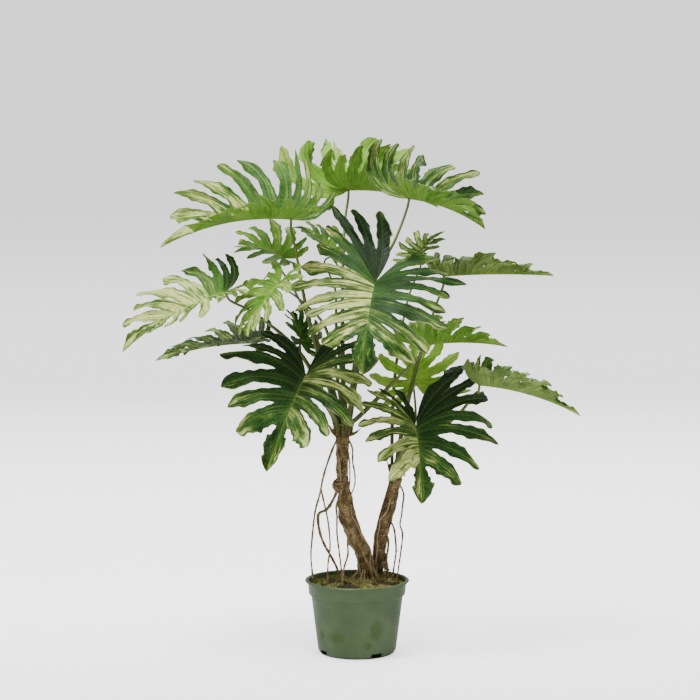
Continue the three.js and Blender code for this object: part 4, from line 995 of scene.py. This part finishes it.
def lobe_grid(leaf, half, lobes, index, shares):
    """Points of a lobe by row u and share s, from its back edge (-1) over its vein (0) to its front
    edge (1): the vein's point, plus |s| times the way to the edge. The edge is lifted by the ridge
    and the ruffle, and the vein stays low, so the lobe is a shallow boat. With the points come how
    far the ribs stand out under them and the facts that the finish needs."""
    lobe, is_end = lobes[index], index == len(lobes) - 1
    others = [lobes[index - 1], lobe if is_end else lobes[index + 1]]
    cuts = [cut_between(lobe, other) for other in others]
    u = np.concatenate([WEB_ROWS, FREE_ROWS])[:, None]
    s = shares[None, :]
    way_at = lambda cut: np.where(u < 0, cut * (1 + u), cut + (1 - cut) * u)
    free, t = np.maximum(u, 0), way_at(SINUS if is_end else sum(cuts) / 2)
    middle = grid_of(*vein(lobe, t))
    edges = [(np.stack(vein(lobe, way_at(cut)), axis=-1) + np.stack(vein(other, way_at(cut)), axis=-1)) / 2
             for other, cut in zip(others, cuts)]
    border = np.where((s < 0)[..., None], edges[0], edges[1])
    share = np.where(u > 0, np.where(s < 0, fill(lobe, free, -1), fill(lobe, free, 1)), 1)
    flat = middle + (np.abs(s) * share)[..., None] * (border - middle)
    width = share * np.linalg.norm(border - middle, axis=-1)
    wave = np.sign(s) * lobe["ruffle"] * width * np.sin(7 * free + lobe["phase"]) * np.minimum(3 * free, 1)
    arch = ARCH * width * math.sin(2 * lobe["phase"]) * np.minimum(3 * free, 1)
    crimp = CRIMP * width * np.sin(31 * free + 5 * lobe["phase"] + s) * np.minimum(5 * free, 1)
    ridge = RIDGE * np.minimum(1 + u, 1) * share
    bow = np.abs(s) ** 1.25
    lift = -lobe["droop"] * lobe["length"] * free**2 + bow * (ridge + wave) + s**2 * arch + bow**3 * crimp
    x, y = flat[..., 0], flat[..., 1]
    points = place_on(leaf, half, x, y, lift)
    away, mid = np.abs(s) * width, np.where(x > -2, np.abs(y), 90)
    facts = grid_of(s, t, lobe["draw"], away, mid, lobe["length"] * t, lobe["cream"])
    rib = RIB_HEIGHT * (1.15 - t) * np.exp(-((away / RIB_WIDTH) ** 2)) * np.minimum(4 * t, 1)
    thinning = np.clip(1.1 - x / leaf["length"], 0.2, 1)
    keel = KEEL_HEIGHT * thinning * np.exp(-((y / KEEL_WIDTH) ** 2)) * (x > -3)
    return points, np.maximum(rib, keel), facts


def half_sheet(leaf, half, side, cream):
    """All lobes of one half as one list of points and triangles. The last lobe lies on the midrib
    and has only its back half."""
    inner = half["lobes"][0]
    outer = dict(base=TIP_BASE * leaf["length"], angle=0, length=(1 - TIP_BASE) * leaf["length"], sweep=0,
                 slim=END_WIDTH, web=1, droop=0, phase=inner["phase"], ruffle=0.15)
    rim = dict(inner, angle=inner["angle"] + 2 * REAR_EDGE, length=inner["length"] * 0.9)
    lobes = [rim] + half["lobes"] + [outer]
    both = np.concatenate([-ACROSS[:0:-1], ACROSS])
    shapes, ribs, facts = [], [], []
    for index in range(1, len(lobes)):
        lobes[index]["draw"] = (0.37 * index + 0.61 * side + 0.113 * leaf["seed"]) % 1
        # Each lobe's cream from the half's list. A number below zero paints shade, a darker green.
        lobes[index]["cream"] = reading(cream, (index - 1) / (len(lobes) - 2))
        shares = both if index < len(lobes) - 1 else -ACROSS[::-1]
        points, rib, fact = lobe_grid(leaf, half, lobes, index, shares)
        triangles = grid_triangles(len(points), len(shares))
        if half["sign"] < 0:
            triangles = triangles[:, ::-1]
        shapes.append((points.reshape(-1, 3), triangles))
        ribs.append(rib.ravel())
        facts.append(fact.reshape(-1, 7)[triangles])
    points, triangles = join_shapes(shapes)
    return points, triangles, np.concatenate(ribs), np.concatenate(facts)


# %% From sheet to blade
def thick_sheet(points, triangles, facts, ribs, thickness):
    """Two faces along the sheet's own normals, half the thickness up and down, and a wall along
    every edge that only one triangle has. The lower face stands out further where the ribs are.
    The last result tells the faces apart: 0 above, 1 below."""
    corner = points[triangles]
    normal = np.cross(corner[:, 1] - corner[:, 0], corner[:, 2] - corner[:, 0])
    smooth = np.zeros_like(points)
    for k in range(3):
        np.add.at(smooth, triangles[:, k], normal)
    smooth /= np.linalg.norm(smooth, axis=1, keepdims=True)
    count = len(points)
    both = np.concatenate([points + smooth * thickness / 2,
                           points - smooth * (thickness / 2 + ribs[:, None])])
    start, end = triangles, np.roll(triangles, -1, axis=1)
    alone = ~np.isin(start * count + end, (end * count + start).ravel())
    stack = lambda *corners: np.stack(corners, axis=1)
    a, b = start[alone], end[alone]
    walls = np.concatenate([stack(b, a, a + count), stack(b, a + count, b + count)])
    a, b = facts[alone], np.roll(facts, -1, axis=1)[alone]
    wall_facts = np.concatenate([stack(b, a, a), stack(b, a, b)])
    faces = np.concatenate([triangles, triangles[:, ::-1] + count, walls])
    facts = np.concatenate([facts, facts[:, ::-1], wall_facts])
    under = np.repeat([0.0, 1.0, 0.5], [len(triangles), len(triangles), len(walls)])
    return both, faces, facts, np.broadcast_to(under[:, None], facts.shape[:2])


def make_blade(name, row, cream, material):
    """The blade of a leaf, with what its finish needs to know at each corner of each face."""
    leaf = leaf_shape(row)
    sheets = [half_sheet(leaf, half, side, cream[side]) for side, half in enumerate(leaf["halves"])]
    ribs, facts = (np.concatenate([sheet[i] for sheet in sheets]) for i in (2, 3))
    points, triangles = join_shapes([sheet[:2] for sheet in sheets])
    points, triangles, facts, first = weld(points, triangles, facts)
    points, faces, facts, under = thick_sheet(points, triangles, facts, ribs[first], BLADE)
    face = np.stack([under, facts[..., 6], under], axis=-1)
    make_piece(f"blade_{name}", points, faces, material, f"leaf_{name}_blade",
               [("lobe", "CORNER", facts[..., :3]), ("rib", "CORNER", facts[..., 3:6]),
                ("face", "CORNER", face)], sharp=65)


# %% [markdown]
# ## Leaf finish
#
# The upper side is deep green and a little glossy; the underside is lighter and duller, and its bright
# yellow-green is in part painted light, standing in for the light that comes through the blade. Many
# leaves are variegated: cream streaks run out along the lobes, broken and uneven, and keep clear of the
# edges. Pale veins show on both sides. One group holds all of this, so that each leaf only chooses its
# greens and how much cream each half has. A cream below zero is painted shade, a darker green.

# %% Group: leaf markings
# Lobe holds the place across the lobe (-1 to 1), the way along it (0 to 1) and the lobe's own number.
# Rib holds the distances in millimetres from the lobe's vein, from the midrib, and along the lobe.
MARKINGS, given, result = start_group(
    "leaf_markings",
    dict(Place=(0, 0, 0), Lobe=(0, 0, 0), Rib=(0, 0, 0), Cream=0.5, Deep=rgb(30, 52, 24),
         Bright=rgb(70, 110, 50), Pale=rgb(205, 210, 160), Vein=0.5, Fresh=0.4),
    dict(Colour="Color", Height="Float"))
side, way, chance = parts_of(given["Lobe"])
from_vein, from_midrib, distance = parts_of(given["Rib"])
edge = side.math("ABSOLUTE")
uneven = use_group(UNEVEN, given["Place"], Patches=26.0, Blotches=55.0, Grain=300.0)


def streaks(across, along, start, detail):
    """Noise in the lobe's own directions, drawn out along it; each lobe reads another layer of it."""
    place = add(MARKINGS, "ShaderNodeCombineXYZ", X=side * across, Y=way * along, Z=chance * 23.0 + start)
    return Value(add(MARKINGS, "ShaderNodeTexNoise", Vector=Value(place.outputs[0]), Scale=1.0,
                     Detail=detail, Roughness=0.6).outputs[0])


# Green: dark and light by patches, by lobe and by streaks. A cream below zero gives a darker green, a painted
# shade on lobes that lie in shade.
broad, fine, finest = streaks(1.6, 2.6, 0.0, 2.0), streaks(4.6, 1.5, 7.0, 2.0), streaks(13.0, 2.2, 3.0, 1.0)
tone = uneven["Patch"] * 0.35 + chance * 0.3 + span(fine, 0.35, 0.65) * 0.4
colour = blend(tone * span(given["Cream"], -0.6, 0.0), given["Deep"], given["Bright"])

# Next to the midrib and along each lobe's vein the green is fresher.
near = span(from_midrib, 12.0, 1.0).math("MAXIMUM", span(from_vein, 5.0, 0.5) * 0.35) * given["Fresh"]
colour = blend(near * span(finest, 0.25, 0.6), colour, rgb(112, 152, 50))

# Cream: broad and strongest over the vein, broken up by the streaks, more or less on each lobe. Thin
# green streaks and dark flecks stay in it.
cream = given["Cream"] - edge**3.0 * 0.3 + (broad - 0.5) * 1.3 + (chance - 0.5) * 0.3
cream += span(way, 0.55, 1.0) * (given["Cream"] * -0.6 + 0.32)
cream += (fine - 0.5) * 1.4 + (finest - 0.5) * 0.8 + (uneven["Blotch"] - 0.5) * 0.16
pale = blend(span(finest, 0.6, 0.42), rgb(146, 164, 80), given["Pale"])
colour = blend(span(cream, 0.1, 0.5) * 0.4, colour, rgb(128, 156, 62))
colour = blend(span(cream, 0.36, 0.68) * 0.94, colour, pale)
flecks = span(streaks(5.0, 7.0, 11.0, 3.0), 0.58, 0.66)
colour = blend(flecks * 0.6, colour, given["Deep"])

# A dry pale rim on the outer part of some lobes.
rim = span(edge, 0.8, 0.97) * span(way, 0.4, 0.8) * span(broad, 0.42, 0.6)
colour = blend(rim * 0.55, colour, rgb(176, 180, 116))

# Veins: a thin pale line along each lobe's middle and a wider one along the midrib.
line = (span(from_vein, 1.4, 0.3) * 0.45).math("MAXIMUM", span(from_midrib, 2.6, 0.8))
colour = blend(line * given["Vein"], colour, rgb(150, 176, 88))

# Side veins: shallow pale grooves that leave the lobe's vein at a slant, unevenly spaced.
slant = distance * 0.3 - from_vein * 0.3 + broad * 9.0
groove = slant.math("COSINE").math("ABSOLUTE") ** 5.0
connect(blend(groove * (given["Vein"] * 0.16), colour, rgb(164, 188, 100)), result["Colour"])
height = groove * -0.3 + uneven["Patch"] * 0.5 + fine * 0.8 + finest * 0.9 + line * -0.8
connect(height, result["Height"])
print(MARKINGS.name, "nodes:", len(MARKINGS.nodes))

# %% Greens of the leaves
GREENS = dict(
    forest=(rgb(12, 36, 12), rgb(50, 92, 34)), night=(rgb(18, 36, 14), rgb(66, 90, 42)),
    meadow=(rgb(18, 54, 15), rgb(72, 120, 38)), spring=(rgb(66, 120, 20), rgb(150, 196, 76)),
    fern=(rgb(46, 96, 20), rgb(116, 160, 52)), lime=(rgb(84, 142, 14), rgb(176, 218, 84)),
    olive=(rgb(44, 72, 20), rgb(132, 156, 74)), sage=(rgb(54, 88, 32), rgb(152, 176, 98)))
PALE, PALE_UNDER = rgb(234, 236, 150), rgb(196, 208, 130)

# Upper and lower green, the cream on the upper side of each half from its back lobes to the tip, the
# cream on the lower side, and how far the veins and the green beside them stand out. A cream below zero
# is painted shade: a darker green on lobes that lie in shade.
LOOKS = {
    "top_left": ("meadow", "spring", (0.1, 0.25, 0.35), (0.3, 0.2, 0.05, 0.2, 0.35, 0.5, 0.6), 0.1, 0.4),
    "top_back": ("spring", "spring", (0.1, 0.1, 0.1), (0.1, 0.1, 0.1), 0.05, 0.4),
    "top_right": ("forest", "spring", (0.12, 0.28, 0.1), (0.1, 0.1, 0.2), 0.2, 0.3),
    "left": ("meadow", "sage", (0.3, 0.6, 0.6), (-0.6, -0.5, 0.3, 0.65, 0.7, 0.65, 0.6), 0.5, 0.4),
    "left_hanging": ("fern", "sage", (0.1, 0.5, 0.6), (0.1, 0.3, 0.5), 0.4, 0.5),
    "left_back": ("fern", "fern", (0.1, 0.1, 0.2), (0.1, 0.25, 0.2), 0.1, 0.4),
    "centre_back": ("fern", "fern", (0.2, 0.2, 0.1), (0.1, 0.1, 0.1), 0.05, 0.4),
    "centre": ("forest", "olive", (0.1, -0.2, -0.1, 0.0, 0.1, 0.2, 0.2, 0.25, 0.1),
               (-0.6, -0.6, -0.6, -0.2, 0.05, 0.55, 0.65, 0.65, 0.6, 0.65, 0.45, 0.0), 0.25, 0.12),
    "right_upper": ("meadow", "olive", (0.25, 0.3, 0.3), (0.2, 0.3, 0.3), 0.25, 0.3),
    "right_back": ("meadow", "spring", (0.4, 0.4, 0.4), (0.4, 0.4, 0.4), 0.2, 0.4),
    "right_middle": ("fern", "fern", (0.2, 0.2, 0.2), (0.2, 0.2, 0.2), 0.1, 0.4),
    "right_low": ("meadow", "sage", (0.1, 0.2, 0.2), (0.1, 0.2, 0.3), 0.2, 0.4),
    "low_right": ("forest", "olive", (-0.5, -0.5, -0.4, 0.0, 0.1, 0.1, 0.1, 0.0),
                  (-0.5, -0.5, 0.3, 0.45, 0.55, 0.45, 0.6, 0.6, 0.4), 0.3, 0.25),
    "low_back": ("lime", "spring", (0.1, 0.1, 0.1), (0.1, 0.1, 0.1), 0.02, 0.6),
    "low_left": ("forest", "olive", (-0.6, -0.4, 0.35, 0.5, 0.45, 0.3, 0.2, 0.25, 0.25),
                 (-0.5, -0.4, -0.2, 0.0, 0.05, 0.0), 0.25, 0.25),
    "left_low": ("night", "night", (0.1, 0.15, 0.2), (0.1, 0.2, 0.25), 0.25, 0.1),
    "centre_low": ("meadow", "sage", (0.1, 0.1, 0.1), (0.1, 0.1, 0.1), 0.1, 0.3),
}


def leaf_finish(name, upper, lower, cream_under, fresh):
    """A leaf's material: the markings once for each face, chosen by the face's own attribute."""
    material, shader, place = start_material(f"leaf_{name}", IOR=1.42, Specular_IOR_Level=0.16)
    lobe, rib, face = (stored(shader, label) for label in ("lobe", "rib", "face"))
    under, cream, _ = parts_of(face)

    def markings(greens, **values):
        return use_group(MARKINGS, place, Lobe=lobe, Rib=rib, Deep=greens[0], Bright=greens[1], **values)

    above = markings(GREENS[upper], Cream=cream, Pale=PALE, Vein=fresh, Fresh=fresh)
    # The lower greens are lighter than the upper ones, and their bright yellow-green is in part painted light
    # that stands in for light coming through the blade.
    below = markings(GREENS[lower], Cream=cream_under, Pale=PALE_UNDER, Vein=0.5)
    connect(blend(under, above["Colour"], below["Colour"]), shader.inputs["Base Color"])
    connect(under * 0.2 + 0.45, shader.inputs["Roughness"])
    bump(shader, above["Height"], 0.8)
    return material


# %% [markdown]
# ## Stalks
#
# A stalk is a round, slightly tapered rod: brown at its foot and green higher up, with fine lengthwise
# specks, and wine-dark along its right side, a painted shade on the side away from the key lamp. It
# starts in its socket in the crown, bends out, and comes up under the blade.

# %% Stalk finish
stalk_skin, shader, place = start_material("leaf_stalk", Roughness=0.5, IOR=1.42)
speck = use_group(UNEVEN, stretched(place, (1, 1, 0.25)), Patches=60.0, Grain=900.0)
way, shade, _ = parts_of(stored(shader, "way"))
colour = blend(way, rgb(84, 88, 36), rgb(112, 136, 54))
# Painted shade: wine-dark along the right side, away from the key lamp on the left.
colour = blend(span(shade, 0.1, 0.9), colour, rgb(50, 34, 24))
colour = blend(speck["Patch"] * 0.5, colour, rgb(134, 144, 74))
colour = blend(speck["Fine"] * 0.35, colour, rgb(66, 60, 30))
connect(colour, shader.inputs["Base Color"])
bump(shader, speck["Fine"], 0.15)
print(stalk_skin.name, "nodes:", len(shader.id_data.nodes))

# %% Stalk shape
STALK_RADII, SMALL_STALK = [4.2, 4.8, 4.9, 4.6, 4.2, 3.6, 3.1, 2.7, 2.5], 0.8
SOCKET_TOP, SOCKET_LEAN = 16, 2
STALK_ELBOW, STALK_END = (1.5, 16), (0.5, 0.8)
STALK_STEPS, STALK_SIDES = 64, 14


def make_stalk(name, row):
    """A tube from the socket over the table's points to just under the back end of the midrib."""
    crown = CROWNS[row["crown"]]
    turn = math.radians(row["turn"])
    out = lambda far, up: np.array(crown["centre"]) + (far * math.cos(turn), far * math.sin(turn), up)
    leaf = leaf_shape(row)
    under = lambda behind, below: leaf["at"] - behind * leaf["along"] - below * leaf["normal"]
    distance = row.get("ring", crown["ring"])
    knots = [out(distance, crown["foot"]), out(distance + SOCKET_LEAN, SOCKET_TOP), *row["via"],
             under(*STALK_ELBOW), under(*STALK_END)]
    scale = SMALL_STALK if row["small"] else 1
    taper = lambda way, angle: scale * reading(STALK_RADII, way) + 0 * angle
    points, triangles = tube(knots, taper, STALK_STEPS, STALK_SIDES)
    way = np.append(np.repeat(np.linspace(0, 1, STALK_STEPS + 1), STALK_SIDES), [0, 1])
    rings = points[:-2].reshape(STALK_STEPS + 1, STALK_SIDES, 3)
    # How far each point of a ring lies to the right: the side that the finish paints in shade.
    shade = (rings - rings.mean(axis=1, keepdims=True))[..., 0] / rings[..., 0].std(axis=1, keepdims=True)
    shade = np.append(shade.ravel(), [0, 0])
    make_piece(f"stalk_{name}", points, triangles, stalk_skin, f"leaf_{name}_stalk",
               [("way", "POINT", np.stack([way, shade, way], axis=1))], sharp=60)


# %% Grow the leaves
for name, row in LEAVES.items():
    upper, lower, first, second, below, fresh = LOOKS[name]
    material = leaf_finish(name, upper, lower, below, fresh)
    make_blade(name, row, (first, second), material)
    make_stalk(name, row)

# %% [markdown]
# ## Floor and light
#
# A pale floor that curves up into the wall behind leaves no line at the horizon. The light is soft:
# an even pale sky, one wide lamp high on the left and a weaker one on the right.

# %% Floor
FLOOR_FRONT, FLOOR_SIDE, FLOOR_BACK, FLOOR_BEND, FLOOR_TOP = -9.0, 9.0, 5.4, 1.6, 6.0
FLOOR_GLOW, WALL_GLOW = 2.4, 0.86
bend = np.linspace(0, np.pi / 2, 24)
curve = np.stack([FLOOR_BACK + FLOOR_BEND * np.sin(bend), FLOOR_BEND * (1 - np.cos(bend))], axis=1)
profile = [(FLOOR_FRONT, 0.0), *curve, (FLOOR_BACK + FLOOR_BEND, FLOOR_TOP)]
sheet = np.array([(x, y, z) for y, z in profile for x in (-FLOOR_SIDE, FLOOR_SIDE)])
mesh = mesh_of("floor", sheet, grid_triangles(len(profile), 2)[:, ::-1])
floor_skin, shader, place = start_material("studio_floor", Roughness=0.9, Base_Color=(0.8, 0.8, 0.8, 1),
                                           Emission_Color=(1, 1, 1, 1))
right, back, up = parts_of(place)
# The floor and wall glow only to the camera. This is painted light: strongest on the floor, fading up the
# wall, and dimmer towards the front.
rising = span(back, 2.2, FLOOR_BACK) * 0.54 + span(up, 0.0, 0.8) * 0.46
glow = rising * (WALL_GLOW - FLOOR_GLOW) + FLOOR_GLOW


def light_left(x, reach, depth):
    """The share of the glow that a painted soft shadow at the place x leaves: less by its depth there, and
    all of it beyond its reach."""
    off = right - x
    return span((off * off + back * back).math("SQRT"), reach, 0.0) * -depth + 1.0


# Painted shadows in the glow: a wide soft one left of the pot and a deep one round its foot.
shadow = light_left(-0.1, 0.42, 0.14) * light_left(0.0, 0.12, 0.9)
nearness = span(back, -0.7, 0.6) * 0.35 + 0.65
seen = Value(add(place.tree, "ShaderNodeLightPath").outputs["Is Camera Ray"])
connect(seen * (glow * (nearness * shadow)), shader.inputs["Emission Strength"])
mesh.materials.append(floor_skin)
object_of("floor", mesh)
print("floor from", FLOOR_FRONT, "to", FLOOR_BACK + FLOOR_BEND)

# %% Light
SKY_STRENGTH = 0.54
sky = bpy.data.worlds.new("sky")
sky.use_nodes = True
sky.node_tree.nodes["Background"].inputs["Color"].default_value = (1, 1, 1, 1)
sky.node_tree.nodes["Background"].inputs["Strength"].default_value = SKY_STRENGTH
bpy.context.scene.world = sky


def lamp(name, place, aim, size, power):
    """A square area light that faces the point it is aimed at."""
    data = bpy.data.lights.new(name, "AREA")
    data.size, data.energy = size, power
    light = object_of(name, data)
    light.location = place
    x, y, z = np.array(aim, float) - place
    light.rotation_euler = (math.acos(-z / math.hypot(x, y, z)), 0, math.atan2(y, x) - math.pi / 2)


lamp("key", (-0.9, -0.9, 3.4), (0, 0, 0.6), 1.0, 150)
lamp("fill", (2.4, -2.8, 1.6), (0, 0, 0.6), 2.0, 20)
lamp("back", (0.6, 1.8, 2.8), (0, 0, 0.8), 1.4, 30)
print("sky strength:", SKY_STRENGTH, "lamps:", len(bpy.data.lights))
